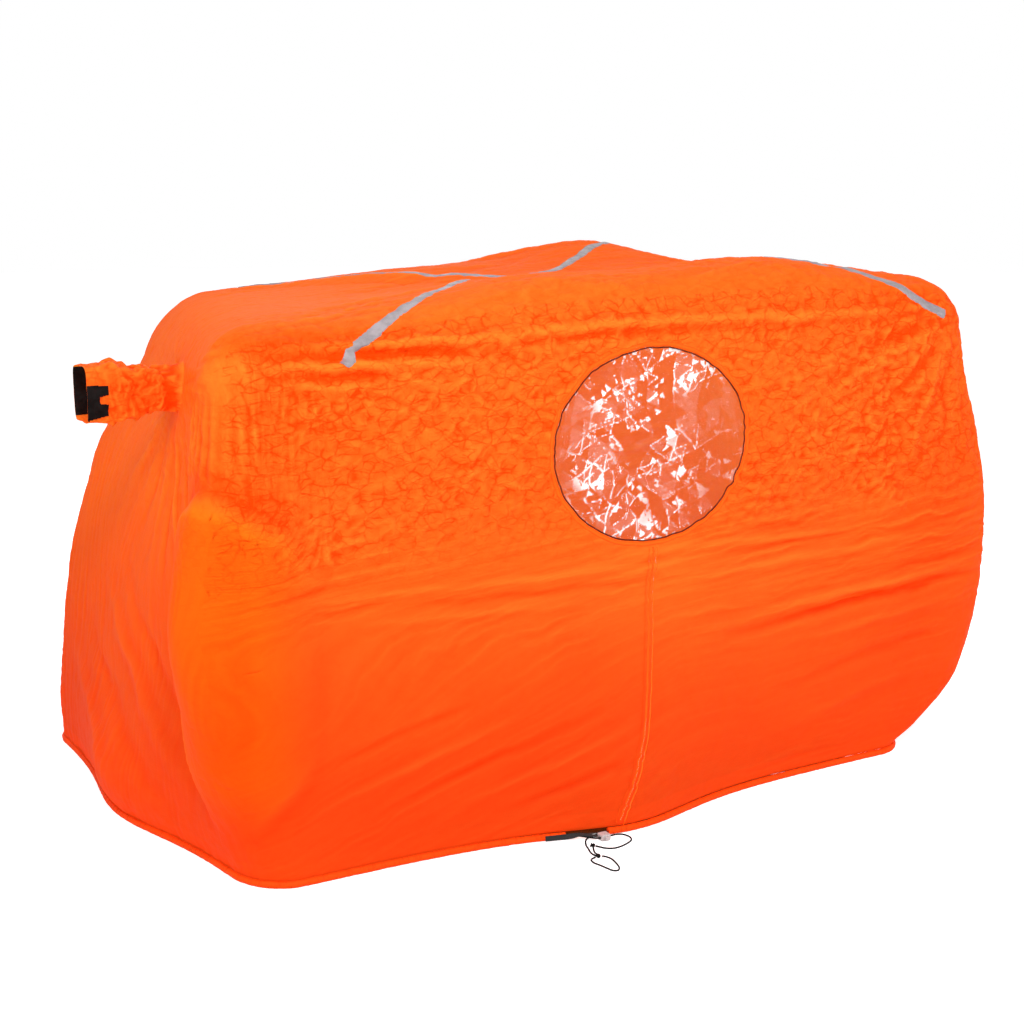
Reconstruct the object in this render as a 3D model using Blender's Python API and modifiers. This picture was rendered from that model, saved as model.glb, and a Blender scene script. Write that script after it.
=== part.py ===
"""A bothy bag: a bottomless cloth shelter pulled over a seated group, with a window, a vent and a drawn hem.

Metres, +Z up. X runs along the long walls, the window wall faces -Y, and the origin is on the ground
under the middle of the shelter.
"""

import math

import bmesh
import bpy
import numpy as np
from mathutils import Vector
from mathutils.bvhtree import BVHTree

# The four upright corner edges, each at its hem, skirt, waist and roof
CORNER_EDGES = {
    "front_left": (
        (-0.70, -0.475, 0.0), (-0.725, -0.47, 0.12), (-0.755, -0.46, 0.47), (-0.765, -0.465, 0.905),
    ),
    "front_right": (
        (0.68, -0.46, 0.0), (0.84, -0.465, 0.14), (0.885, -0.47, 0.47), (0.78, -0.47, 0.92),
    ),
    "back_left": (
        (-0.79, 0.475, 0.0), (-0.79, 0.48, 0.12), (-0.735, 0.46, 0.47), (-0.515, 0.42, 0.89),
    ),
    "back_right": (
        (0.64, 0.455, 0.0), (0.78, 0.465, 0.12), (0.83, 0.465, 0.47), (0.68, 0.43, 0.905),
    ),
}
LEVEL_SHARES = (0.0, 0.14, 0.52, 1.0)
HALF_BOX = (0.76, 0.46, 0.46)
EDGE_RADIUS = 0.085

# Where the people inside push the cloth out: centre, push and reach
PUSHES = (
    ((0.34, 0.26, 0.92), (0.0, 0.0, 0.07), (0.28, 0.26, 0.5)),
    ((0.33, -0.34, 0.92), (0.0, 0.0, 0.058), (0.40, 0.26, 0.5)),
    ((-0.10, 0.20, 0.92), (0.0, 0.0, 0.035), (0.40, 0.26, 0.5)),
    ((-0.15, -0.36, 0.92), (0.0, 0.0, 0.045), (0.34, 0.24, 0.5)),
    ((-0.79, -0.03, 0.06), (-0.08, 0.0, 0.0), (0.3, 0.28, 0.20)),
    ((-0.62, 0.36, 0.86), (-0.018, 0.0, 0.0), (0.16, 0.22, 0.14)),
    ((-0.68, 0.44, 0.62), (-0.018, 0.0, 0.0), (0.15, 0.20, 0.12)),
    ((0.86, -0.42, 0.76), (-0.022, 0.0, 0.0), (0.20, 0.40, 0.16)),
    ((-0.76, -0.44, 0.40), (-0.04, -0.02, 0.0), (0.12, 0.14, 0.24)),
    ((-0.80, -0.44, 0.43), (-0.036, 0.0, 0.0), (0.12, 0.08, 0.16)),
    ((-0.76, -0.30, 0.42), (0.018, 0.0, 0.0), (0.12, 0.08, 0.24)),
    ((-0.03, -0.47, 0.0), (0.0, -0.075, 0.0), (0.26, 0.3, 0.30)),
    ((0.10, 0.47, 0.05), (0.0, 0.082, 0.0), (0.40, 0.3, 0.35)),
)

# Long soft folds: where each starts and ends, its height and the width of its slope
FOLDS = (
    ((-0.60, -0.47, 0.62), (-0.10, -0.47, 0.47), 0.010, 0.045),
    ((-0.55, -0.47, 0.40), (0.10, -0.50, 0.30), -0.010, 0.055),
    ((0.20, -0.47, 0.42), (0.86, -0.47, 0.55), 0.011, 0.045),
    ((0.30, -0.47, 0.22), (0.84, -0.47, 0.40), 0.010, 0.045),
    ((-0.79, 0.30, 0.12), (-0.74, -0.25, 0.52), 0.010, 0.050),
    ((-0.70, 0.10, 0.45), (-0.74, -0.35, 0.75), -0.010, 0.045),
)

# Each panel's side, name and the step of its net, which is finer where the cloth has folds
PANELS = (
    ("front", "front_wall", 0.062),
    ("left", "left_end_wall", 0.064),
    ("back", "back_wall", 0.100),
    ("right", "right_end_wall", 0.096),
    ("roof", "roof_panel", 0.080),
)
CORNER_STEP = 0.025
SKIRT_HEIGHTS = (0.0, 0.045, 0.095, 0.150)
CLOTH = 0.003
SEAM_GAP = 0.0036
TOUCH_GAP = 0.0004

# Hem: a folded channel, open along its top, which holds the drawcord
HEM_WIDTH = 0.012
HEM_HEIGHT = 0.013
HEM_PLY = 0.003
HEM_FLOOR = 0.0025
HEM_END_GAP = 0.0013
HEM_SEAM_GAP = 0.0011
HEM_STEP = 0.088
HEM_LAST_STEP = 0.03
CORD_EXIT_LEFT = -0.160
CORD_EXIT_RIGHT = -0.085
DRAWCORD = 0.003
DRAWCORD_HEIGHT = 0.005

# Window
WINDOW_CENTRE = (0.041, 0.672)
WINDOW_HALF = (0.202, 0.173)
WINDOW_SIDES = 48
WINDOW_SEAM = 0.0006
BINDING_WIDTH = 0.014
BINDING_LAP = 0.004
BINDING_PLY = 0.0012
BINDING_LIFT = 0.0012

# The front wall's seam below the window, taped on the inside
FRONT_SEAM_ROUTE = (
    (-0.050, -0.53, 0.045), (0.004, -0.51, 0.16), (0.030, -0.49, 0.30), (0.040, -0.475, 0.474),
)
SEAM_TAPE_WIDTH = 0.018
SEAM_TAPE_STEP = 0.030
SEAM_TAPE_LIFT = 0.0018

# Vent
VENT_Y = -0.150
VENT_Z = 0.785
VENT_SIDES = 28
VENT_HOLE = 0.037
PATCH_RADIUS = 0.060
PATCH_SEAM = 0.0004
COLLAR_RADIUS = 0.042
COLLAR_LIFT = 0.0034
SLEEVE_START = -0.735
SLEEVE_END = -0.868
SLEEVE_RINGS = (0.0, 0.17, 0.34, 0.50, 0.62, 0.81, 1.0)
SLEEVE_ROOT_HALF = (0.036, 0.034)
SLEEVE_MOUTH_HALF = (0.040, 0.046)
SLEEVE_PLY = 0.0025
LIP_HINGE_X = -0.812
LIP_HEIGHT = 0.080
LIP_CLEAR = 0.0015
LIP_HINGE_CLEAR = 0.0025
LIP_OPENING = (0.015, 0.070)
STRIP_PLY = 0.0016
FAR_STRIP_LENGTH = 0.022
# The near strip: how far each corner is in from the mouth, and above the vent's middle
NEAR_STRIP_OUTLINE = (
    (0.0, -0.040), (0.034, -0.033), (0.034, -0.015), (0.020, -0.013),
    (0.020, -0.002), (0.034, 0.002), (0.034, 0.016), (0.0, 0.018),
)

# Reflective tape
TAPE_WIDTH = 0.022
TAPE_PLY = 0.0012
TAPE_STEP = 0.024
TAPE_LIFT = 0.0024
LOWER_TAPE_ROUTE = (
    (-0.537, -0.50, 0.872), (-0.485, -0.48, 0.915), (-0.415, -0.42, 0.95),
    (-0.020, -0.10, 0.98), (0.420, 0.26, 1.02), (0.600, 0.40, 0.95),
)
UPPER_TAPE_ROUTE = (
    (0.709, -0.50, 0.874), (0.640, -0.48, 0.925), (0.560, -0.42, 0.97),
    (0.050, -0.04, 0.98), (-0.420, 0.33, 0.95),
)
TAPE_CROSSING = (0.048, -0.042)
CROSSING_LIFT = 0.0022
CROSSING_FLAT = 0.030
CROSSING_REACH = 0.045

# Seats
SEAT_PLY = 0.003
SEAT_LIFT = 0.0005
SEAT_DEPTH = 0.270
SEAT_HINGE_Y = 0.4453
MARGIN_EDGE_Y = 0.4475
FRONT_SEAT_X = (-0.57, 0.53)
BACK_SEAT_X = (-0.64, 0.50)
SEAT_CORNER = 0.030
MARGIN_GAP = 0.0012
MARGIN_STEPS = 14

# Cord lock
LOCK_CENTRE = (-0.103, -0.5525, 0.0062)
LOCK_SIZE = (0.018, 0.018, 0.0118)
LOCK_WALL = 0.0016
LOCK_CORD_Y = -0.5555
LOCK_CORD_HOLE = 0.0021
LOCK_ROUNDING = 0.0022
PLUNGER_SECTION = (0.0084, 0.0066)
PLUNGER_REACH = 0.005
PLUNGER_TRAVEL = 0.003
PLUNGER_INNER_Y = -0.5520
PLUNGER_ROUNDING = 0.0010
SPRING_RADIUS = 0.0022
SPRING_WIRE = 0.0003
SPRING_TURNS = 5
SPRING_TURN_POINTS = 8

# The drawcord outside the hem, point by point
LOOP_ROUTE = (
    (-0.1597, -0.5185, 0.0050), (-0.150, -0.5210, 0.0053), (-0.140, -0.5290, 0.0058),
    (-0.130, -0.5410, 0.0061), (-0.121, -0.5515, 0.0062), (-0.113, -0.5555, 0.0062),
    (-0.103, -0.5555, 0.0062), (-0.090, -0.5555, 0.0062), (-0.077, -0.5556, 0.0059),
    (-0.0665, -0.5594, 0.0046), (-0.0605, -0.5690, 0.0028), (-0.0640, -0.5800, 0.0019),
    (-0.076, -0.5880, 0.0018), (-0.094, -0.5945, 0.0018), (-0.110, -0.5955, 0.0018),
    (-0.122, -0.5885, 0.0018), (-0.1290, -0.5785, 0.0020), (-0.1330, -0.5733, 0.0026),
)
RETURN_ROUTE = (
    (-0.0855, -0.5345, 0.0050), (-0.097, -0.5345, 0.0042), (-0.110, -0.5330, 0.0028),
    (-0.123, -0.5350, 0.0019), (-0.133, -0.5420, 0.0018), (-0.140, -0.5520, 0.0018),
    (-0.1455, -0.5630, 0.0018), (-0.149, -0.5750, 0.0018), (-0.1535, -0.5880, 0.0018),
    (-0.1555, -0.5990, 0.0020), (-0.1548, -0.6078, 0.0024),
)
LINK_ROUTE = (
    (-0.1393, -0.5756, 0.0026), (-0.1430, -0.5830, 0.0018), (-0.1475, -0.5930, 0.0018),
    (-0.1490, -0.6010, 0.0020), (-0.1495, -0.6080, 0.0024),
)
PULL_ROUTE = (
    (-0.1462, -0.6150, 0.0024), (-0.1405, -0.6195, 0.0018), (-0.1375, -0.6320, 0.0018),
    (-0.1400, -0.6500, 0.0018), (-0.1450, -0.6670, 0.0018), (-0.1530, -0.6760, 0.0018),
    (-0.1610, -0.6720, 0.0018), (-0.1645, -0.6600, 0.0018), (-0.1680, -0.6450, 0.0018),
    (-0.1720, -0.6310, 0.0018), (-0.1705, -0.6195, 0.0018), (-0.1650, -0.6150, 0.0020),
    (-0.1588, -0.6138, 0.0024),
)
UPPER_KNOT = (-0.1375, -0.5700, 0.0036)
LOWER_KNOT = (-0.1525, -0.6135, 0.0036)
KNOT_HALF = (0.0050, 0.0050, 0.0033)

# Webbing tab: its middle line, and how far each point leans from upright to flat
TAB_ROUTE = (
    (-0.198, 0.0, 0.0066, 0.0), (-0.180, 0.0, 0.0066, 0.0), (-0.163, 0.0, 0.0066, 0.0),
    (-0.152, -0.5290, 0.0084, 0.45), (-0.140, -0.5330, 0.0098, 0.9), (-0.127, -0.5450, 0.0100, 1.0),
    (-0.1165, -0.5530, 0.0100, 1.0),
)
TAB_WIDTH = 0.0095
TAB_PLY = 0.0012
TAB_GAP = 0.0006

ORANGE = (1.0, 0.13, 0.012)
DEEP_ORANGE = (0.93, 0.085, 0.008)
BLACK_CLOTH = (0.012, 0.011, 0.012)
SILVER_GREY = (0.42, 0.40, 0.41)
CLEAR = (0.86, 0.84, 0.83)
FROSTED = (0.62, 0.58, 0.58)
STEEL = (0.55, 0.55, 0.56)


def clear_scene():
    for obj in list(bpy.data.objects):
        bpy.data.objects.remove(obj)


def new_collection(name):
    collection = bpy.data.collections.new(name)
    bpy.context.scene.collection.children.link(collection)
    return collection


def finish_of(name, colour, roughness, metallic=0.0, alpha=1.0):
    material = bpy.data.materials.new(name)
    material.use_nodes = True
    shader = material.node_tree.nodes["Principled BSDF"]
    shader.inputs["Base Color"].default_value = (*colour, 1.0)
    shader.inputs["Roughness"].default_value = roughness
    shader.inputs["Metallic"].default_value = metallic
    shader.inputs["Alpha"].default_value = alpha
    return material


def move_to(obj, collection):
    for other in list(obj.users_collection):
        other.objects.unlink(obj)
    collection.objects.link(obj)


def dress(obj, name, material):
    obj.name = name
    obj.data.name = name
    obj.data.materials.clear()
    obj.data.materials.append(material)
    move_to(obj, PARTS)
    if obj.type == "MESH":
        obj.data.shade_smooth()
        obj.data.set_sharp_from_angle(angle=math.radians(35))
    return obj


def as_cutter(obj, name):
    obj.name = name
    obj.hide_render = True
    obj.display_type = "WIRE"
    move_to(obj, CUTTERS)
    return obj


# The cloth's shape


def corner_edges_at(share):
    """Where the four corner edges are at a share of the height, as smooth curves through their levels."""
    level = np.array(LEVEL_SHARES)
    place = np.array(list(CORNER_EDGES.values()))
    slope = np.empty_like(place)
    slope[:, 1:-1] = (place[:, 2:] - place[:, :-2]) / (level[2:] - level[:-2])[None, :, None]
    slope[:, 0] = (place[:, 1] - place[:, 0]) / (level[1] - level[0])
    slope[:, -1] = (place[:, -1] - place[:, -2]) / (level[-1] - level[-2])
    below = np.clip(np.searchsorted(level, share, side="right") - 1, 0, len(level) - 2)
    gap = (level[below + 1] - level[below])[None, :, None]
    t = ((share - level[below]) / (level[below + 1] - level[below]))[None, :, None]
    start, end = place[:, below], place[:, below + 1]
    leave, arrive = slope[:, below] * gap, slope[:, below + 1] * gap
    return (
        (2 * t**3 - 3 * t**2 + 1) * start
        + (t**3 - 2 * t**2 + t) * leave
        + (3 * t**2 - 2 * t**3) * end
        + (t**3 - t**2) * arrive
    )


def rounded_box(cube):
    """Points of a cube of half side 1 moved onto the rounded box, still from -1 to 1."""
    half = np.array(HALF_BOX)
    point = cube * half
    core = np.clip(point, EDGE_RADIUS - half, half - EDGE_RADIUS)
    core[:, 2] = np.minimum(point[:, 2], half[2] - EDGE_RADIUS)
    away = point - core
    away /= np.maximum(np.linalg.norm(away, axis=1, keepdims=True), 1e-9)
    return (core + EDGE_RADIUS * away) / half


def fold_height(points, start, end, height, width):
    start, end = np.array(start), np.array(end)
    along = end - start
    share = np.clip(((points - start) @ along) / (along @ along), 0, 1)
    distance = np.linalg.norm(points - start - share[:, None] * along, axis=1)
    fade = np.sin(math.pi * np.clip(share, 0.02, 0.98))
    return height * fade * np.exp(-((distance / width) ** 2))


def shape(cube):
    """The cloth's outer surface at points of the cube of half side 1."""
    box = rounded_box(cube)
    u, v, w = ((box[:, i : i + 1] + 1) / 2 for i in range(3))
    front_left, front_right, back_left, back_right = corner_edges_at(w[:, 0])
    front = (1 - u) * front_left + u * front_right
    back = (1 - u) * back_left + u * back_right
    points = (1 - v) * front + v * back
    pushed = points.copy()
    for centre, push, reach in PUSHES:
        distance = (points - np.array(centre)) / np.array(reach)
        pushed += np.array(push) * (1 / (1 + (distance**2).sum(axis=1)) ** 2)[:, None]
    outward = cube * (np.abs(cube) > 0.999)
    outward /= np.maximum(np.linalg.norm(outward, axis=1, keepdims=True), 1e-9)
    for fold in FOLDS:
        pushed += outward * fold_height(points, *fold)[:, None]
    return pushed


def on_side(side, across, up):
    return {
        "front": (across, -1.0, up),
        "back": (-across, 1.0, up),
        "left": (-1.0, -across, up),
        "right": (1.0, across, up),
        "roof": (across, up, 1.0),
    }[side]


def stations(half, step):
    """Places across a side, from -1 to 1: close together round both corners and a step apart between."""
    length = 2 * half
    fine = [SEAM_GAP / 2, CORNER_STEP, 2 * CORNER_STEP, 3 * CORNER_STEP]
    middle = length - 2 * fine[-1]
    count = round(middle / step)
    even = [fine[-1] + middle * i / count for i in range(1, count)]
    places = fine + even + [length - x for x in reversed(fine)]
    return [x / half - 1 for x in places]


def heights(step):
    """Places up a wall, from -1 to 1: from the hem, close together at the skirt and round the roof edge."""
    half = HALF_BOX[2]
    low = list(SKIRT_HEIGHTS)
    top = 2 * half
    fine = [top - 3 * CORNER_STEP, top - 2 * CORNER_STEP, top - CORNER_STEP, top - SEAM_GAP / 2]
    middle = fine[0] - low[-1]
    count = round(middle / step)
    even = [low[-1] + middle * i / count for i in range(1, count)]
    return [x / half - 1 for x in low + even + fine]


def grid_of(points_at, columns, rows):
    """A grid primitive of columns by rows faces, with each vertex where points_at(column, row) puts it."""
    bpy.ops.mesh.primitive_grid_add(x_subdivisions=columns, y_subdivisions=rows, size=2)
    obj = bpy.context.object
    index = [
        (round((v.co.x + 1) / 2 * columns), round((v.co.y + 1) / 2 * rows))
        for v in obj.data.vertices
    ]
    for vertex, point in zip(obj.data.vertices, points_at(index)):
        vertex.co = point
    return obj


def half_length(side):
    return HALF_BOX[1] if side in ("left", "right") else HALF_BOX[0]


def cloth_panel(name, side, step):
    half = half_length(side)
    across = stations(half, step)
    up = stations(HALF_BOX[1], step) if side == "roof" else heights(step)

    def place(index):
        points = shape(np.array([on_side(side, across[i], up[j]) for i, j in index]))
        if side != "roof":
            hem_row = np.array([j == 0 for _, j in index])
            points[hem_row, 2] = HEM_HEIGHT + HEM_SEAM_GAP
        return points

    obj = grid_of(place, len(across) - 1, len(up) - 1)
    return dress(obj, name, CLOTH_FINISH)


def add_thickness(obj, thickness, outward=False):
    wall = obj.modifiers.new("thickness", "SOLIDIFY")
    wall.thickness = thickness
    wall.offset = 1.0 if outward else -1.0
    return wall


def cut_with(obj, cutter, operation="DIFFERENCE"):
    cut = obj.modifiers.new(operation.lower(), "BOOLEAN")
    cut.operation = operation
    cut.object = cutter
    return cut


def window_cutter(name, shrink):
    """An upright oval drum through the front wall."""
    bpy.ops.mesh.primitive_cylinder_add(
        vertices=WINDOW_SIDES, radius=1, depth=0.3, rotation=(math.pi / 2, 0, 0),
        location=(WINDOW_CENTRE[0], -HALF_BOX[1], WINDOW_CENTRE[1]),
    )
    obj = bpy.context.object
    for vertex in obj.data.vertices:
        vertex.co.x *= WINDOW_HALF[0] - shrink
        vertex.co.y *= WINDOW_HALF[1] - shrink
    return as_cutter(obj, name)


def vent_cutter(name, radius):
    """A round drum through the left end wall."""
    bpy.ops.mesh.primitive_cylinder_add(
        vertices=24, radius=radius, depth=0.2, rotation=(0, math.pi / 2, 0),
        location=(-0.70, VENT_Y, VENT_Z),
    )
    return as_cutter(bpy.context.object, name)


def copy_of(panel, name, material):
    obj = panel.copy()
    obj.data = panel.data.copy()
    PARTS.objects.link(obj)
    return dress(obj, name, material)


def make_cloth():
    panels = {side: cloth_panel(name, side, step) for side, name, step in PANELS}
    vertices, faces = [], []
    for panel in panels.values():
        offset = len(vertices)
        vertices += [v.co.copy() for v in panel.data.vertices]
        faces += [[offset + i for i in p.vertices] for p in panel.data.polygons]
    tree = BVHTree.FromPolygons(vertices, faces)

    film = copy_of(panels["front"], "window_film", CLEAR_FINISH)
    patch = copy_of(panels["left"], "vent_patch", CLOTH_FINISH)
    for obj in [*panels.values(), film, patch]:
        add_thickness(obj, CLOTH)
    cut_with(panels["front"], window_cutter("window_hole_cutter", 0.0))
    cut_with(film, window_cutter("window_film_cutter", WINDOW_SEAM), "INTERSECT")
    cut_with(panels["left"], vent_cutter("patch_hole_cutter", PATCH_RADIUS))
    cut_with(patch, vent_cutter("vent_patch_cutter", PATCH_RADIUS - PATCH_SEAM), "INTERSECT")
    cut_with(patch, vent_cutter("vent_hole_cutter", VENT_HOLE))
    return tree


# Bands that lie on the cloth


def on_cloth(tree, point, lift):
    place, normal, _, _ = tree.find_nearest(Vector(point))
    return place + normal * lift, normal


def smooth_route(route, spacing):
    """Evenly spaced points along a smooth curve through the route's own points."""
    knots = [Vector(p) for p in route]
    knots = [2 * knots[0] - knots[1]] + knots + [2 * knots[-1] - knots[-2]]
    fine = []
    for before, start, end, after in zip(knots, knots[1:], knots[2:], knots[3:]):
        for i in range(24):
            t = i / 24
            fine.append(
                0.5 * (2 * start + (end - before) * t
                       + (2 * before - 5 * start + 4 * end - after) * t**2
                       + (3 * start - before - 3 * end + after) * t**3)
            )
    fine.append(knots[-2].copy())
    walked = np.concatenate([[0], np.cumsum([(b - a).length for a, b in zip(fine, fine[1:])])])
    count = max(2, round(walked[-1] / spacing))
    wanted = np.linspace(0, walked[-1], count + 1)
    columns = [np.interp(wanted, walked, [p[k] for p in fine]) for k in range(len(fine[0]))]
    return [Vector(p) for p in zip(*columns)]


def cloth_band(name, route, width, ply, lift_at, tree, material, closed=False):
    """A band along a route on the cloth, each edge laid on the cloth's facets."""
    edges = []
    for i, point in enumerate(route):
        after = route[(i + 1) % len(route)] if closed else route[min(i + 1, len(route) - 1)]
        before = route[i - 1] if closed or i else route[0]
        place, normal = on_cloth(tree, point, 0.0)
        side = normal.cross((after - before).normalized()).normalized()
        lift = lift_at(place)
        edges.append([on_cloth(tree, place + side * width * s, lift)[0] for s in (0.5, -0.5)])
    if closed:
        edges.append(edges[0])
    obj = grid_of(lambda index: [edges[i][j] for i, j in index], len(edges) - 1, 1)
    shell = bmesh.new()
    shell.from_mesh(obj.data)
    bmesh.ops.remove_doubles(shell, verts=shell.verts, dist=1e-6)
    bmesh.ops.reverse_faces(shell, faces=shell.faces)
    shell.to_mesh(obj.data)
    shell.free()
    dress(obj, name, material)
    add_thickness(obj, ply, outward=True)
    return obj


def make_window_binding(tree):
    middle = BINDING_WIDTH / 2 - BINDING_LAP
    route = []
    for i in range(WINDOW_SIDES):
        angle = 2 * math.pi * i / WINDOW_SIDES
        before_wall = Vector((
            WINDOW_CENTRE[0] + (WINDOW_HALF[0] + middle) * math.cos(angle),
            -1.0,
            WINDOW_CENTRE[1] + (WINDOW_HALF[1] + middle) * math.sin(angle),
        ))
        route.append(tree.ray_cast(before_wall, Vector((0, 1, 0)))[0])
    cloth_band(
        "window_binding", route, BINDING_WIDTH, BINDING_PLY, lambda place: BINDING_LIFT, tree,
        SEAM_FINISH, closed=True,
    )


def make_front_seam(tree):
    lift = -(CLOTH + SEAM_TAPE_LIFT + BINDING_PLY)
    route = smooth_route(FRONT_SEAM_ROUTE, SEAM_TAPE_STEP)
    cloth_band(
        "front_seam_tape", route, SEAM_TAPE_WIDTH, BINDING_PLY, lambda place: lift, tree,
        SEAM_FINISH,
    )


def make_reflective_tapes(tree):
    lower = smooth_route(LOWER_TAPE_ROUTE, TAPE_STEP)
    upper = smooth_route(UPPER_TAPE_ROUTE, TAPE_STEP)

    def over_lower(place):
        distance = math.hypot(place.x - TAPE_CROSSING[0], place.y - TAPE_CROSSING[1])
        share = max(0.0, 1 - max(0.0, distance - CROSSING_FLAT) / CROSSING_REACH)
        return TAPE_LIFT + CROSSING_LIFT * share

    cloth_band(
        "reflective_tape_lower", lower, TAPE_WIDTH, TAPE_PLY, lambda place: TAPE_LIFT, tree,
        TAPE_FINISH,
    )
    cloth_band("reflective_tape_upper", upper, TAPE_WIDTH, TAPE_PLY, over_lower, tree, TAPE_FINISH)


# The hem and its drawcord


def poly_curve(name, points, closed=False):
    data = bpy.data.curves.new(name, "CURVE")
    data.dimensions = "3D"
    spline = data.splines.new("POLY")
    spline.points.add(len(points) - 1)
    for knot, point in zip(spline.points, points):
        knot.co = (*point, 1)
    spline.use_cyclic_u = closed
    obj = bpy.data.objects.new(name, data)
    bpy.context.scene.collection.objects.link(obj)
    return obj


def flat_outline(name, outline, ply):
    """A flat piece of an even thickness, from its outline."""
    obj = poly_curve(name, [(x, y, 0.0) for x, y in outline], closed=True)
    obj.data.dimensions = "2D"
    obj.data.fill_mode = "BOTH"
    obj.data.extrude = ply / 2
    return obj


def tube(name, points, diameter, material, resolution=2):
    obj = poly_curve(name, points)
    obj.data.bevel_depth = diameter / 2
    obj.data.bevel_resolution = resolution
    obj.data.use_fill_caps = True
    return dress(obj, name, material)


def hem_line(side, start=None, end=None):
    """The hem's middle line on one side, on the ground, between two places in X where they are given."""
    half = half_length(side)
    across = stations(half, HEM_STEP)
    inset = HEM_END_GAP / half
    across[0], across[-1] = -1 + inset, 1 - inset
    if start is not None or end is not None:
        fine = np.linspace(-1, 1, 801)
        x_of = shape(np.array([on_side(side, a, -1.0) for a in fine]))[:, 0]
        if start is not None:
            first = float(np.interp(start, x_of, fine))
            across = [first] + [a for a in across if a > first + HEM_LAST_STEP]
        if end is not None:
            last = float(np.interp(end, x_of, fine))
            across = [a for a in across if a < last - HEM_LAST_STEP] + [last]
    points = shape(np.array([on_side(side, a, -1.0) for a in across]))
    return [Vector((p[0], p[1], 0.0)) for p in points]


def make_hem():
    half = HEM_WIDTH / 2
    inner = half - HEM_PLY
    section = poly_curve(
        "hem_section",
        [(-half, 0, 0), (-half, HEM_HEIGHT, 0), (-inner, HEM_HEIGHT, 0), (-inner, HEM_FLOOR, 0),
         (inner, HEM_FLOOR, 0), (inner, HEM_HEIGHT, 0), (half, HEM_HEIGHT, 0), (half, 0, 0)],
        closed=True,
    )
    section.data.dimensions = "2D"
    as_cutter(section, "hem_section")
    lines = {
        "front_hem_right": hem_line("front", start=CORD_EXIT_RIGHT),
        "right_hem": hem_line("right"),
        "back_hem": hem_line("back"),
        "left_hem": hem_line("left"),
        "front_hem_left": hem_line("front", end=CORD_EXIT_LEFT),
    }
    for name, line in lines.items():
        obj = poly_curve(name, line)
        obj.data.twist_mode = "Z_UP"
        obj.data.bevel_mode = "OBJECT"
        obj.data.bevel_object = section
        obj.data.use_fill_caps = True
        dress(obj, name, HEM_FINISH)
    around = [p + Vector((0, 0, DRAWCORD_HEIGHT)) for line in lines.values() for p in line]
    tube("hem_drawcord", around, DRAWCORD, CORD_FINISH, resolution=1)
    return lines


def make_webbing_tab():
    """A tab sewn upright to the hem's outer face, which twists flat over the cord up to the cord lock."""
    hem = hem_line("front")
    outer = HEM_WIDTH / 2 + TAB_PLY / 2 + TAB_GAP
    middle = []
    for x, y, z, lean in TAB_ROUTE:
        if y == 0.0:
            y = float(np.interp(x, [p.x for p in hem], [p.y for p in hem])) - outer
        middle.append((x, y, z, lean))
    edges = []
    for i, (x, y, z, lean) in enumerate(middle):
        after = middle[min(i + 1, len(middle) - 1)]
        before = middle[max(i - 1, 0)]
        along = Vector((after[0] - before[0], after[1] - before[1], 0)).normalized()
        inward = Vector((0, 0, 1)).cross(along)
        turn = lean * math.pi / 2
        width = Vector((0, 0, 1)) * math.cos(turn) + inward * math.sin(turn)
        centre = Vector((x, y, z))
        edges.append([centre + width * TAB_WIDTH * s for s in (0.5, -0.5)])
    obj = grid_of(lambda index: [edges[i][j] for i, j in index], len(edges) - 1, 1)
    dress(obj, "hem_webbing_tab", BLACK_FINISH)
    wall = add_thickness(obj, TAB_PLY)
    wall.offset = 0.0


def make_free_cords():
    for name, route in {
        "drawcord_loop": LOOP_ROUTE,
        "drawcord_return": RETURN_ROUTE,
        "drawcord_link": LINK_ROUTE,
        "drawcord_pull_loop": PULL_ROUTE,
    }.items():
        tube(name, smooth_route(route, 2.6 * DRAWCORD), DRAWCORD, CORD_FINISH)
    for name, centre in {"drawcord_knot_upper": UPPER_KNOT, "drawcord_knot_lower": LOWER_KNOT}.items():
        bpy.ops.mesh.primitive_uv_sphere_add(segments=12, ring_count=8, radius=1, location=centre)
        knot = bpy.context.object
        for vertex in knot.data.vertices:
            vertex.co = [c * h for c, h in zip(vertex.co, KNOT_HALF)]
        dress(knot, name, CORD_FINISH)


# The cord lock


def block(name, low, high):
    bpy.ops.mesh.primitive_cube_add(size=1, location=[(a + b) / 2 for a, b in zip(low, high)])
    obj = bpy.context.object
    for vertex in obj.data.vertices:
        vertex.co = [c * (b - a) for c, a, b in zip(vertex.co, low, high)]
    obj.name = name
    return obj


def round_edges(obj, width, segments=2):
    bevel = obj.modifiers.new("edges", "BEVEL")
    bevel.width = width
    bevel.segments = segments


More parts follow.
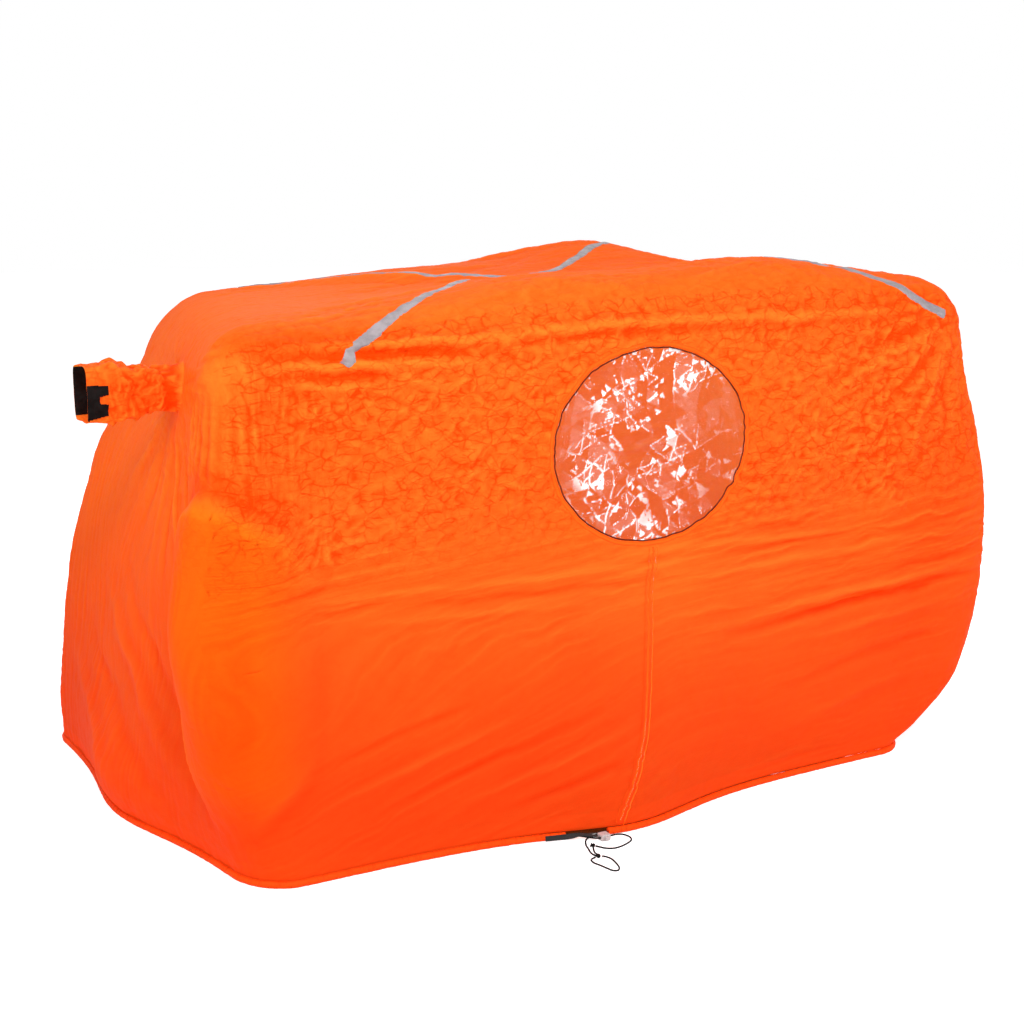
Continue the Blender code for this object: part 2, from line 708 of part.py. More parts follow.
def make_cord_lock():
    cx, cy, cz = LOCK_CENTRE
    sx, sy, sz = LOCK_SIZE
    front, back = cy - sy / 2, cy + sy / 2
    bore_end = back - LOCK_WALL
    px, pz = PLUNGER_SECTION
    body = dress(
        block("body", (cx - sx / 2, front, cz - sz / 2), (cx + sx / 2, back, cz + sz / 2)),
        "cord_lock_body", LOCK_FINISH,
    )
    round_edges(body, LOCK_ROUNDING)
    bore = block(
        "bore", (cx - px / 2 - TOUCH_GAP, front - 0.01, cz - pz / 2 - TOUCH_GAP),
        (cx + px / 2 + TOUCH_GAP, bore_end, cz + pz / 2 + TOUCH_GAP),
    )
    cut_with(body, as_cutter(bore, "cord_lock_bore_cutter"))
    bpy.ops.mesh.primitive_cylinder_add(
        vertices=16, radius=LOCK_CORD_HOLE, depth=0.06, rotation=(0, math.pi / 2, 0),
        location=(cx, LOCK_CORD_Y, cz),
    )
    cut_with(body, as_cutter(bpy.context.object, "cord_hole_cutter"))

    plunger = dress(
        block(
            "plunger", (cx - px / 2, front - PLUNGER_REACH, cz - pz / 2),
            (cx + px / 2, PLUNGER_INNER_Y, cz + pz / 2),
        ),
        "cord_lock_plunger", LOCK_FINISH,
    )
    round_edges(plunger, PLUNGER_ROUNDING)
    hole = DRAWCORD / 2 + TOUCH_GAP
    slot = block(
        "slot", (cx - sx, LOCK_CORD_Y - hole - PLUNGER_TRAVEL, cz - hole),
        (cx + sx, LOCK_CORD_Y + hole, cz + hole),
    )
    cut_with(plunger, as_cutter(slot, "plunger_slot_cutter"))

    start, end = PLUNGER_INNER_Y + SPRING_WIRE + TOUCH_GAP, bore_end - SPRING_WIRE - TOUCH_GAP
    turns = []
    for i in range(SPRING_TURNS * SPRING_TURN_POINTS + 1):
        angle = 2 * math.pi * i / SPRING_TURN_POINTS
        share = i / (SPRING_TURNS * SPRING_TURN_POINTS)
        turns.append((
            cx + SPRING_RADIUS * math.cos(angle), start + (end - start) * share,
            cz + SPRING_RADIUS * math.sin(angle),
        ))
    tube("cord_lock_spring", turns, 2 * SPRING_WIRE, STEEL_FINISH, resolution=1)


# The vent


def sleeve_ring(x):
    """The sleeve's section at one place: round at its root, and a tall rounded oblong at its mouth."""
    share = min(1.0, (SLEEVE_START - x) / (SLEEVE_START - LIP_HINGE_X))
    half_y, half_z = (
        root + (mouth - root) * share
        for root, mouth in zip(SLEEVE_ROOT_HALF, SLEEVE_MOUTH_HALF)
    )
    power = 2.0 + 4.0 * share
    ring = []
    for i in range(VENT_SIDES):
        angle = 2 * math.pi * (i + 0.5) / VENT_SIDES
        c, s = math.cos(angle), math.sin(angle)
        reach = (abs(c) ** power + abs(s) ** power) ** (-1 / power)
        ring.append(Vector((x, VENT_Y + half_y * reach * c, VENT_Z + half_z * reach * s)))
    return ring


def ring_tube(name, rings, ply, material):
    """An open tube through rings of points, with a wall on its inner side."""
    count = len(rings[0])
    rings = [ring + [ring[0]] for ring in rings]
    obj = grid_of(lambda index: [rings[i][j] for i, j in index], len(rings) - 1, count)
    shell = bmesh.new()
    shell.from_mesh(obj.data)
    bmesh.ops.remove_doubles(shell, verts=shell.verts, dist=1e-6)
    shell.faces.ensure_lookup_table()
    face = shell.faces[0]
    across = face.calc_center_median() - Vector((0, VENT_Y, VENT_Z))
    across.x = 0.0
    if across.dot(face.normal) < 0:
        bmesh.ops.reverse_faces(shell, faces=shell.faces)
    shell.to_mesh(obj.data)
    shell.free()
    dress(obj, name, material)
    add_thickness(obj, ply)
    return obj


def make_vent(tree):
    root_ring = []
    for i in range(VENT_SIDES):
        angle = 2 * math.pi * (i + 0.5) / VENT_SIDES
        y = VENT_Y + COLLAR_RADIUS * math.cos(angle)
        z = VENT_Z + COLLAR_RADIUS * math.sin(angle)
        wall = tree.ray_cast(Vector((-1.0, y, z)), Vector((1, 0, 0)))[0]
        root_ring.append(Vector((wall.x - COLLAR_LIFT, y, z)))
    sleeve_root = sleeve_ring(SLEEVE_START + TOUCH_GAP)
    middle = [a.lerp(b, 0.5) for a, b in zip(root_ring, sleeve_root)]
    ring_tube("vent_collar", [root_ring, middle, sleeve_root], SLEEVE_PLY, CLOTH_FINISH)

    rings = [sleeve_ring(SLEEVE_START + (SLEEVE_END - SLEEVE_START) * s) for s in SLEEVE_RINGS]
    sleeve = ring_tube("vent_sleeve", rings, SLEEVE_PLY, CLOTH_FINISH)
    half_y = SLEEVE_MOUTH_HALF[0]
    tall = LIP_HEIGHT / 2 + LIP_CLEAR
    for side, name in ((-1, "near"), (1, "far")):
        low, high = sorted(VENT_Y + side * away for away in LIP_OPENING)
        cutter = block(
            "cutter", (SLEEVE_END - 0.03, low, VENT_Z - tall),
            (LIP_HINGE_X + LIP_HINGE_CLEAR, high, VENT_Z + tall),
        )
        cut_with(sleeve, as_cutter(cutter, f"vent_{name}_side_cutter"))
        low, high = sorted((VENT_Y + side * half_y, VENT_Y + side * (half_y - SLEEVE_PLY)))
        lip = block(
            "lip", (SLEEVE_END, low, VENT_Z - LIP_HEIGHT / 2),
            (LIP_HINGE_X, high, VENT_Z + LIP_HEIGHT / 2),
        )
        dress(lip, f"vent_{name}_lip", CLOTH_FINISH)

    inner = VENT_Y + half_y - SLEEVE_PLY - TOUCH_GAP
    strip = block(
        "strip", (SLEEVE_END, inner - STRIP_PLY, VENT_Z - LIP_HEIGHT / 2),
        (SLEEVE_END + FAR_STRIP_LENGTH, inner, VENT_Z + LIP_HEIGHT / 2),
    )
    dress(strip, "vent_far_strip", BLACK_FINISH)
    make_near_strip(half_y)


def make_near_strip(half_y):
    """An upright black bar with two tabs, on the near lip's outer face."""
    obj = flat_outline("vent_near_strip", NEAR_STRIP_OUTLINE, STRIP_PLY)
    obj.rotation_euler = (math.pi / 2, 0, 0)
    obj.location = (SLEEVE_END, VENT_Y - half_y - TOUCH_GAP - STRIP_PLY / 2, VENT_Z)
    dress(obj, "vent_near_strip", BLACK_FINISH)


# The seats


def make_seat(name, side, span):
    """A waterproof panel that lies on the ground inside the hem, and folds up about its outer edge."""
    inner, outer = sorted((side * (SEAT_HINGE_Y - SEAT_DEPTH), side * SEAT_HINGE_Y))
    seat = block("seat", (span[0], inner, SEAT_LIFT), (span[1], outer, SEAT_LIFT + SEAT_PLY))
    shell = bmesh.new()
    shell.from_mesh(seat.data)
    free_side = -side
    upright = [
        e for e in shell.edges
        if abs(e.verts[0].co.z - e.verts[1].co.z) > 1e-4 and e.verts[0].co.y * free_side > 0
    ]
    bmesh.ops.bevel(
        shell, geom=upright, offset=SEAT_CORNER, segments=5, profile=0.5, affect="EDGES"
    )
    shell.to_mesh(seat.data)
    shell.free()
    dress(seat, name, SEAT_FINISH)


def make_seat_margin(name, hem, span, side):
    """The seat's sewn edge: flat on the ground, from the fold line out to the hem."""
    inset = HEM_WIDTH / 2 + MARGIN_GAP
    hem = sorted(hem, key=lambda point: point.x)
    xs, ys = [p.x for p in hem], [p.y for p in hem]
    outer = [
        (x, float(np.interp(x, xs, ys)) - side * inset)
        for x in np.linspace(span[0], span[1], MARGIN_STEPS + 1)
    ]
    outline = outer + [(span[1], side * MARGIN_EDGE_Y), (span[0], side * MARGIN_EDGE_Y)]
    obj = flat_outline(name, outline, SEAT_PLY)
    obj.location = (0, 0, SEAT_LIFT + SEAT_PLY / 2)
    dress(obj, name, SEAT_FINISH)


clear_scene()
PARTS = new_collection("bothy_bag")
CUTTERS = new_collection("cutters")
CLOTH_FINISH = finish_of("orange_ripstop", ORANGE, 0.55)
HEM_FINISH = finish_of("orange_hem", DEEP_ORANGE, 0.6)
SEAM_FINISH = finish_of("orange_binding", DEEP_ORANGE, 0.6)
CLEAR_FINISH = finish_of("clear_film", CLEAR, 0.12, alpha=0.4)
TAPE_FINISH = finish_of("reflective_grey", SILVER_GREY, 0.4)
BLACK_FINISH = finish_of("black_webbing", BLACK_CLOTH, 0.85)
CORD_FINISH = finish_of("black_cord", BLACK_CLOTH, 0.8)
LOCK_FINISH = finish_of("frosted_plastic", FROSTED, 0.35)
STEEL_FINISH = finish_of("spring_steel", STEEL, 0.3, metallic=1.0)
SEAT_FINISH = finish_of("seat_cloth", BLACK_CLOTH, 0.6)

cloth_tree = make_cloth()
make_window_binding(cloth_tree)
make_front_seam(cloth_tree)
make_reflective_tapes(cloth_tree)
hem_lines = make_hem()
make_webbing_tab()
make_free_cords()
make_cord_lock()
make_vent(cloth_tree)
make_seat("front_seat", -1, FRONT_SEAT_X)
make_seat("back_seat", 1, BACK_SEAT_X)
front_line = hem_lines["front_hem_left"] + hem_lines["front_hem_right"]
make_seat_margin("front_seat_margin", front_line, FRONT_SEAT_X, -1)
make_seat_margin("back_seat_margin", hem_lines["back_hem"], BACK_SEAT_X, 1)
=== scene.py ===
"""Dresses the bothy bag: crumpled ripstop walls, a creased clear window, tapes, vent, hem, cords and seats."""

import math

import bmesh
import bpy
import numpy as np
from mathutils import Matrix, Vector, noise
from mathutils.bvhtree import BVHTree


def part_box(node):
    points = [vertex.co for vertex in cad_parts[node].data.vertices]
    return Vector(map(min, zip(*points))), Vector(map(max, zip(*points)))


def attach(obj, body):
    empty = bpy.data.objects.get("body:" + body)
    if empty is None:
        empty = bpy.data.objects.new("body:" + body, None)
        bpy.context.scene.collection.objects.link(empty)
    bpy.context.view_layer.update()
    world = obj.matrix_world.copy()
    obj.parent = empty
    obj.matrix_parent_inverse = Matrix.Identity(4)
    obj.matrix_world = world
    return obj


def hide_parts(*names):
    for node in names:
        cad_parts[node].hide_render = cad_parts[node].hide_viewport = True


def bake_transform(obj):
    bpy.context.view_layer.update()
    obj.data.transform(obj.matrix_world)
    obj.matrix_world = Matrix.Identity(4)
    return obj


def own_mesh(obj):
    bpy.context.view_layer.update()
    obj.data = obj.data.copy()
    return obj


bl_info = {
    "name": "Bothy bag looks",
    "version": (1, 0, 0),
    "blender": (4, 5, 0),
    "location": "3D View > Sidebar > Bothy bag",
    "description": "Models the cloth, window, vent, hem and cords of a group shelter",
    "category": "Object",
}

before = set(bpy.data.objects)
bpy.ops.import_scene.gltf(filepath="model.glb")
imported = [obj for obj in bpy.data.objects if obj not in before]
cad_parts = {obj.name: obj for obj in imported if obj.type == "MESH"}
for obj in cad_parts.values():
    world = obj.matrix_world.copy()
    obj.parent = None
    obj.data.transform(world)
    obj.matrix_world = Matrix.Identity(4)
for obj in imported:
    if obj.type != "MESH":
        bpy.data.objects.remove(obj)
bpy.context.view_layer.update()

# The cloth's shape: the four upright corner edges, each at its hem, skirt, waist and roof
CORNER_EDGES = {
    "front_left": (
        (-0.70, -0.475, 0.0), (-0.725, -0.47, 0.12), (-0.755, -0.46, 0.47), (-0.765, -0.465, 0.905),
    ),
    "front_right": (
        (0.68, -0.46, 0.0), (0.84, -0.465, 0.14), (0.885, -0.47, 0.47), (0.78, -0.47, 0.92),
    ),
    "back_left": (
        (-0.79, 0.475, 0.0), (-0.79, 0.48, 0.12), (-0.735, 0.46, 0.47), (-0.515, 0.42, 0.89),
    ),
    "back_right": (
        (0.64, 0.455, 0.0), (0.78, 0.465, 0.12), (0.83, 0.465, 0.47), (0.68, 0.43, 0.905),
    ),
}
LEVEL_SHARES = (0.0, 0.14, 0.52, 1.0)
HALF_BOX = (0.76, 0.46, 0.46)
EDGE_RADIUS = 0.085

# Where the people inside push the cloth out: centre, push and reach
PUSHES = (
    ((0.34, 0.26, 0.92), (0.0, 0.0, 0.07), (0.28, 0.26, 0.5)),
    ((0.33, -0.34, 0.92), (0.0, 0.0, 0.058), (0.40, 0.26, 0.5)),
    ((-0.10, 0.20, 0.92), (0.0, 0.0, 0.035), (0.40, 0.26, 0.5)),
    ((-0.15, -0.36, 0.92), (0.0, 0.0, 0.045), (0.34, 0.24, 0.5)),
    ((-0.79, -0.03, 0.06), (-0.08, 0.0, 0.0), (0.3, 0.28, 0.20)),
    ((-0.62, 0.36, 0.86), (-0.018, 0.0, 0.0), (0.16, 0.22, 0.14)),
    ((-0.68, 0.44, 0.62), (-0.018, 0.0, 0.0), (0.15, 0.20, 0.12)),
    ((0.86, -0.42, 0.76), (-0.022, 0.0, 0.0), (0.20, 0.40, 0.16)),
    ((-0.76, -0.44, 0.40), (-0.04, -0.02, 0.0), (0.12, 0.14, 0.24)),
    ((-0.80, -0.44, 0.43), (-0.036, 0.0, 0.0), (0.12, 0.08, 0.16)),
    ((-0.76, -0.30, 0.42), (0.018, 0.0, 0.0), (0.12, 0.08, 0.24)),
    ((-0.03, -0.47, 0.0), (0.0, -0.075, 0.0), (0.26, 0.3, 0.30)),
    ((0.10, 0.47, 0.05), (0.0, 0.082, 0.0), (0.40, 0.3, 0.35)),
)

# Long soft folds: where each starts and ends, its height and the width of its slope
FOLDS = (
    ((-0.60, -0.47, 0.62), (-0.10, -0.47, 0.47), 0.010, 0.045),
    ((-0.55, -0.47, 0.40), (0.10, -0.50, 0.30), -0.010, 0.055),
    ((0.20, -0.47, 0.42), (0.86, -0.47, 0.55), 0.011, 0.045),
    ((0.30, -0.47, 0.22), (0.84, -0.47, 0.40), 0.010, 0.045),
    ((-0.79, 0.30, 0.12), (-0.74, -0.25, 0.52), 0.010, 0.050),
    ((-0.70, 0.10, 0.45), (-0.74, -0.35, 0.75), -0.010, 0.045),
)

SIDES = {
    "front": "front_wall",
    "left": "left_end_wall",
    "back": "back_wall",
    "right": "right_end_wall",
    "roof": "roof_panel",
}
NET_STEP = 0.0080
SIM_FRAMES = 14
PLANES = {"front": [0, 2], "back": [0, 2], "left": [1, 2], "right": [1, 2], "roof": [0, 1]}
MOST_MOVED = 0.011

WINDOW_CENTRE = (0.041, 0.672)
WINDOW_HALF = (0.202, 0.173)
VENT_Y, VENT_Z = -0.150, 0.785
VENT_HOLE = 0.040
HEM_HEIGHT = 0.013


def corner_edges_at(share):
    """Where the four corner edges are at a share of the height, as smooth curves through their levels."""
    level = np.array(LEVEL_SHARES)
    place = np.array(list(CORNER_EDGES.values()))
    slope = np.empty_like(place)
    slope[:, 1:-1] = (place[:, 2:] - place[:, :-2]) / (level[2:] - level[:-2])[None, :, None]
    slope[:, 0] = (place[:, 1] - place[:, 0]) / (level[1] - level[0])
    slope[:, -1] = (place[:, -1] - place[:, -2]) / (level[-1] - level[-2])
    below = np.clip(np.searchsorted(level, share, side="right") - 1, 0, len(level) - 2)
    gap = (level[below + 1] - level[below])[None, :, None]
    t = ((share - level[below]) / (level[below + 1] - level[below]))[None, :, None]
    start, end = place[:, below], place[:, below + 1]
    leave, arrive = slope[:, below] * gap, slope[:, below + 1] * gap
    return (
        (2 * t**3 - 3 * t**2 + 1) * start
        + (t**3 - 2 * t**2 + t) * leave
        + (3 * t**2 - 2 * t**3) * end
        + (t**3 - t**2) * arrive
    )


def rounded_box(cube):
    """Points of a cube of half side 1 moved onto the rounded box, still from -1 to 1."""
    half = np.array(HALF_BOX)
    point = cube * half
    core = np.clip(point, EDGE_RADIUS - half, half - EDGE_RADIUS)
    core[:, 2] = np.minimum(point[:, 2], half[2] - EDGE_RADIUS)
    away = point - core
    away /= np.maximum(np.linalg.norm(away, axis=1, keepdims=True), 1e-9)
    return (core + EDGE_RADIUS * away) / half


def fold_height(points, start, end, height, width):
    """The height of a fold along a straight line, at each point."""
    start, end = np.array(start), np.array(end)
    along = end - start
    share = np.clip(((points - start) @ along) / (along @ along), 0, 1)
    distance = np.linalg.norm(points - start - share[:, None] * along, axis=1)
    fade = np.sin(math.pi * np.clip(share, 0.02, 0.98))
    return height * fade * np.exp(-((distance / width) ** 2))


def shape(cube):
    """The cloth's outer surface at points of the cube of half side 1."""
    box = rounded_box(cube)
    u, v, w = ((box[:, i : i + 1] + 1) / 2 for i in range(3))
    front_left, front_right, back_left, back_right = corner_edges_at(w[:, 0])
    front = (1 - u) * front_left + u * front_right
    back = (1 - u) * back_left + u * back_right
    points = (1 - v) * front + v * back
    pushed = points.copy()
    for centre, push, reach in PUSHES:
        distance = (points - np.array(centre)) / np.array(reach)
        pushed += np.array(push) * (1 / (1 + (distance**2).sum(axis=1)) ** 2)[:, None]
    outward = cube * (np.abs(cube) > 0.999)
    outward /= np.maximum(np.linalg.norm(outward, axis=1, keepdims=True), 1e-9)
    for fold in FOLDS:
        pushed += outward * fold_height(points, *fold)[:, None]
    return pushed


def on_side(side, across, up):
    one = np.ones_like(across)
    return {
        "front": np.stack([across, -one, up], 1),
        "back": np.stack([-across, one, up], 1),
        "left": np.stack([-one, -across, up], 1),
        "right": np.stack([one, across, up], 1),
        "roof": np.stack([across, up, one], 1),
    }[side]


# Small helpers for objects, meshes and materials


def deselect():
    for obj in bpy.context.selected_objects:
        obj.select_set(False)


def coords(mesh):
    flat = np.empty(len(mesh.vertices) * 3, np.float32)
    mesh.vertices.foreach_get("co", flat)
    return flat.reshape(-1, 3).astype(float)


def set_coords(mesh, points):
    mesh.vertices.foreach_set("co", np.asarray(points, np.float32).ravel())
    mesh.update()


def set_attribute(mesh, name, values):
    layer = mesh.attributes.get(name) or mesh.attributes.new(name, "FLOAT", "POINT")
    layer.data.foreach_set("value", np.asarray(values, np.float32))


def finish_piece(obj, name, material, body):
    obj.name = name
    obj.data.name = name
    obj.data.materials.clear()
    obj.data.materials.append(material)
    if obj.type == "MESH":
        obj.data.shade_smooth()
    if body:
        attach(obj, body)
    return obj


def net(columns, rows):
    """A flat grid from -1 to 1, and each vertex's column and row."""
    deselect()
    bpy.ops.mesh.primitive_grid_add(x_subdivisions=columns, y_subdivisions=rows, size=2)
    obj = bpy.context.object
    flat = coords(obj.data)
    across = np.rint((flat[:, 0] + 1) / 2 * columns).astype(int)
    up = np.rint((flat[:, 1] + 1) / 2 * rows).astype(int)
    return obj, across, up


def set_uv(obj, u, v):
    """Writes a UV map, in metres, from a value at each vertex."""
    layer = obj.data.uv_layers.active or obj.data.uv_layers.new(name="UVMap")
    index = np.empty(len(obj.data.loops), np.int32)
    obj.data.loops.foreach_get("vertex_index", index)
    both = np.stack([u[index], v[index]], 1)
    layer.data.foreach_set("uv", both.astype(np.float32).ravel())


def weld(obj, distance=1e-5, flip=False, capped=False):
    """Joins doubled vertices, and turns the faces round or closes the open ends where asked."""
    shell = bmesh.new()
    shell.from_mesh(obj.data)
    bmesh.ops.remove_doubles(shell, verts=shell.verts, dist=distance)
    if flip:
        bmesh.ops.reverse_faces(shell, faces=shell.faces)
    if capped:
        bmesh.ops.holes_fill(shell, edges=[e for e in shell.edges if e.is_boundary])
        bmesh.ops.recalc_face_normals(shell, faces=shell.faces)
    shell.to_mesh(obj.data)
    shell.free()


def apply_all(obj):
    deselect()
    obj.select_set(True)
    bpy.context.view_layer.objects.active = obj
    for modifier in list(obj.modifiers):
        bpy.ops.object.modifier_apply(modifier=modifier.name)


def surface(name, points, outward, closed=False, capped=False):
    """A grid whose vertices are points[column][row]. closed joins the last row to the first one."""
    points = np.asarray(points, float)
    outward = np.broadcast_to(np.asarray(outward, float), points.shape)
    if closed:
        points = np.concatenate([points, points[:, :1]], axis=1)
        outward = np.concatenate([outward, outward[:, :1]], axis=1)
    columns, rows = points.shape[0] - 1, points.shape[1] - 1
    obj, across, up = net(columns, rows)
    set_coords(obj.data, points[across, up])
    steps = np.linalg.norm(np.diff(points, axis=0), axis=2).mean(axis=1)
    along = np.concatenate([[0], np.cumsum(steps)])
    width = np.linalg.norm(np.diff(points, axis=1), axis=2)
    over = np.concatenate([np.zeros((columns + 1, 1)), np.cumsum(width, axis=1)], axis=1)
    set_uv(obj, over[across, up], along[across])
    corner = np.array([p.vertices[0] for p in obj.data.polygons])
    normal = np.array([p.normal for p in obj.data.polygons])
    inside_out = (normal * outward[across[corner], up[corner]]).sum() < 0
    weld(obj, 1e-5 if closed else 1e-7, flip=inside_out, capped=capped)
    obj.name = name
    return obj


def frames_along(path):
    """The direction of a path at each point, and two directions across it that turn as little as can be."""
    ahead = np.gradient(np.asarray(path, float), axis=0)
    ahead /= np.linalg.norm(ahead, axis=1, keepdims=True)
    first = np.cross(ahead[0], (0.0, 0.0, 1.0))
    side = [first / np.linalg.norm(first)]
    for direction in ahead[1:]:
        turned = side[-1] - direction * (side[-1] @ direction)
        side.append(turned / np.linalg.norm(turned))
    side = np.array(side)
    return ahead, side, np.cross(ahead, side)


def tube_along(name, path, radius, sides=14):
    """A round tube with closed ends along a path."""
    path = np.asarray(path, float)
    _, side, up = frames_along(path)
    angle = np.linspace(0, 2 * math.pi, sides, endpoint=False)
    away = side[:, None] * np.cos(angle)[None, :, None] + up[:, None] * np.sin(angle)[None, :, None]
    return surface(name, path[:, None] + radius * away, away, closed=True, capped=True)


def lattice_value(i, j, seed):
    """A repeatable number from 0 to 1 for a lattice point."""
    mixed = np.sin(i * 12.9898 + j * 78.233 + seed * 37.719) * 43758.5453
    return mixed - np.floor(mixed)


def facets(u, v, pitch, seed):
    """A sheet creased into flat triangles: its height, how near a crease is, and each triangle's number."""
    b = v / (pitch * 0.866)
    a = u / pitch - 0.5 * b
    i, j = np.floor(a), np.floor(b)
    fa, fb = a - i, b - j
    low = fa + fb < 1
    h10, h01 = lattice_value(i + 1, j, seed), lattice_value(i, j + 1, seed)
    h00, h11 = lattice_value(i, j, seed), lattice_value(i + 1, j + 1, seed)
    height = np.where(
        low,
        h00 + fa * (h10 - h00) + fb * (h01 - h00),
        h11 + (1 - fa) * (h01 - h11) + (1 - fb) * (h10 - h11),
    )
    near = np.where(
        low,
        np.minimum(np.minimum(fa, fb), 1 - fa - fb),
        np.minimum(np.minimum(1 - fa, 1 - fb), fa + fb - 1),
    )
    return height - 0.5, near, lattice_value(i * 2 + low, j, seed + 5)


def wander(points, scale, reach):
    """How far a smooth noise carries each point."""
    return np.array([noise.noise_vector(Vector(p) * scale) for p in points]) * reach


def smooth_route(route, spacing):
    """Evenly spaced points along a smooth curve through the route's own points."""
    knots = np.array(route, float)
    knots = np.concatenate([[2 * knots[0] - knots[1]], knots, [2 * knots[-1] - knots[-2]]])
    fine = []
    for before, start, end, after in zip(knots, knots[1:], knots[2:], knots[3:]):
        for t in np.linspace(0, 1, 24, endpoint=False):
            fine.append(
                0.5 * (2 * start + (end - before) * t
                       + (2 * before - 5 * start + 4 * end - after) * t**2
                       + (3 * start - before - 3 * end + after) * t**3)
            )
    fine.append(knots[-2])
    fine = np.array(fine)
    walked = np.concatenate([[0], np.cumsum(np.linalg.norm(np.diff(fine, axis=0), axis=1))])
    count = max(2, round(walked[-1] / spacing))
    wanted = np.linspace(0, walked[-1], count + 1)
    return np.stack([np.interp(wanted, walked, fine[:, k]) for k in range(3)], 1)


def add(tree, kind, inputs=None, **settings):
    """Adds a shader node. Each input is a value or another node's output."""
    node = tree.nodes.new(kind)
    for key, value in settings.items():
        setattr(node, key, value)
    for key, value in (inputs or {}).items():
        socket = node.inputs[key]
        if isinstance(value, bpy.types.NodeSocket):
            tree.links.new(value, socket)
        else:
            socket.default_value = value
    return node


def new_material(name, colour, roughness):
    material = bpy.data.materials.new(name)
    material.use_nodes = True
    tree = material.node_tree
    shader = tree.nodes["Principled BSDF"]
    shader.inputs["Base Color"].default_value = (*colour[:3], 1.0)
    shader.inputs["Roughness"].default_value = roughness
    material.diffuse_color = (*colour[:3], 1.0)
    return material, tree, shader


def math_node(tree, operation, a, b=None, c=None, clamp=False):
    node = add(tree, "ShaderNodeMath", operation=operation, use_clamp=clamp)
    for socket, value in zip(node.inputs, (a, b, c)):
        if value is None:
            continue
        if isinstance(value, bpy.types.NodeSocket):
            tree.links.new(value, socket)
        else:
            socket.default_value = value
    return node.outputs[0]


def ramp(tree, value, low, high, bottom=0.0, top=1.0):
    node = add(
        tree, "ShaderNodeMapRange",
        {"Value": value, "From Min": low, "From Max": high, "To Min": bottom, "To Max": top},
        interpolation_type="SMOOTHSTEP",
    )
    return node.outputs["Result"]


def blend_colours(tree, factor, a, b):
    node = add(tree, "ShaderNodeMix", data_type="RGBA")
    for socket, value in ((node.inputs[0], factor), (node.inputs[6], a), (node.inputs[7], b)):
        if isinstance(value, bpy.types.NodeSocket):
            tree.links.new(value, socket)
        else:
            socket.default_value = value if isinstance(value, float) else (*value[:3], 1.0)
    return node.outputs[2]


def multiplied(tree, a, b):
    """One colour multiplied by another, or by a grey value."""
    node = add(tree, "ShaderNodeMix", data_type="RGBA", blend_type="MULTIPLY")
    node.inputs[0].default_value = 1.0
    tree.links.new(a, node.inputs[6])
    tree.links.new(b, node.inputs[7])
    return node.outputs[2]


def noise_at(tree, vector, scale, detail=3.0, roughness=0.5, distortion=0.0):
    node = add(
        tree, "ShaderNodeTexNoise",
        {"Vector": vector, "Scale": scale, "Detail": detail, "Roughness": roughness,
         "Distortion": distortion},
    )
    return node.outputs["Fac"]


def thread_grid(tree, uv, period, edge=0.42):
    """A mask of raised threads, in a square grid of this period on the UV map."""
    parts = add(tree, "ShaderNodeSeparateXYZ", {"Vector": uv})
    lines = []
    for axis in ("X", "Y"):
        scaled = math_node(tree, "MULTIPLY", parts.outputs[axis], 1 / period)
        lines.append(ramp(tree, math_node(tree, "PINGPONG", scaled, 0.5), edge, 0.5))
    return math_node(tree, "MAXIMUM", lines[0], lines[1])


def orange_gloss(shader):
    """The weak, warm gloss of coated orange nylon."""
    shader.inputs["Specular IOR Level"].default_value = 0.08
    shader.inputs["Specular Tint"].default_value = (1.0, 0.60, 0.40, 1.0)


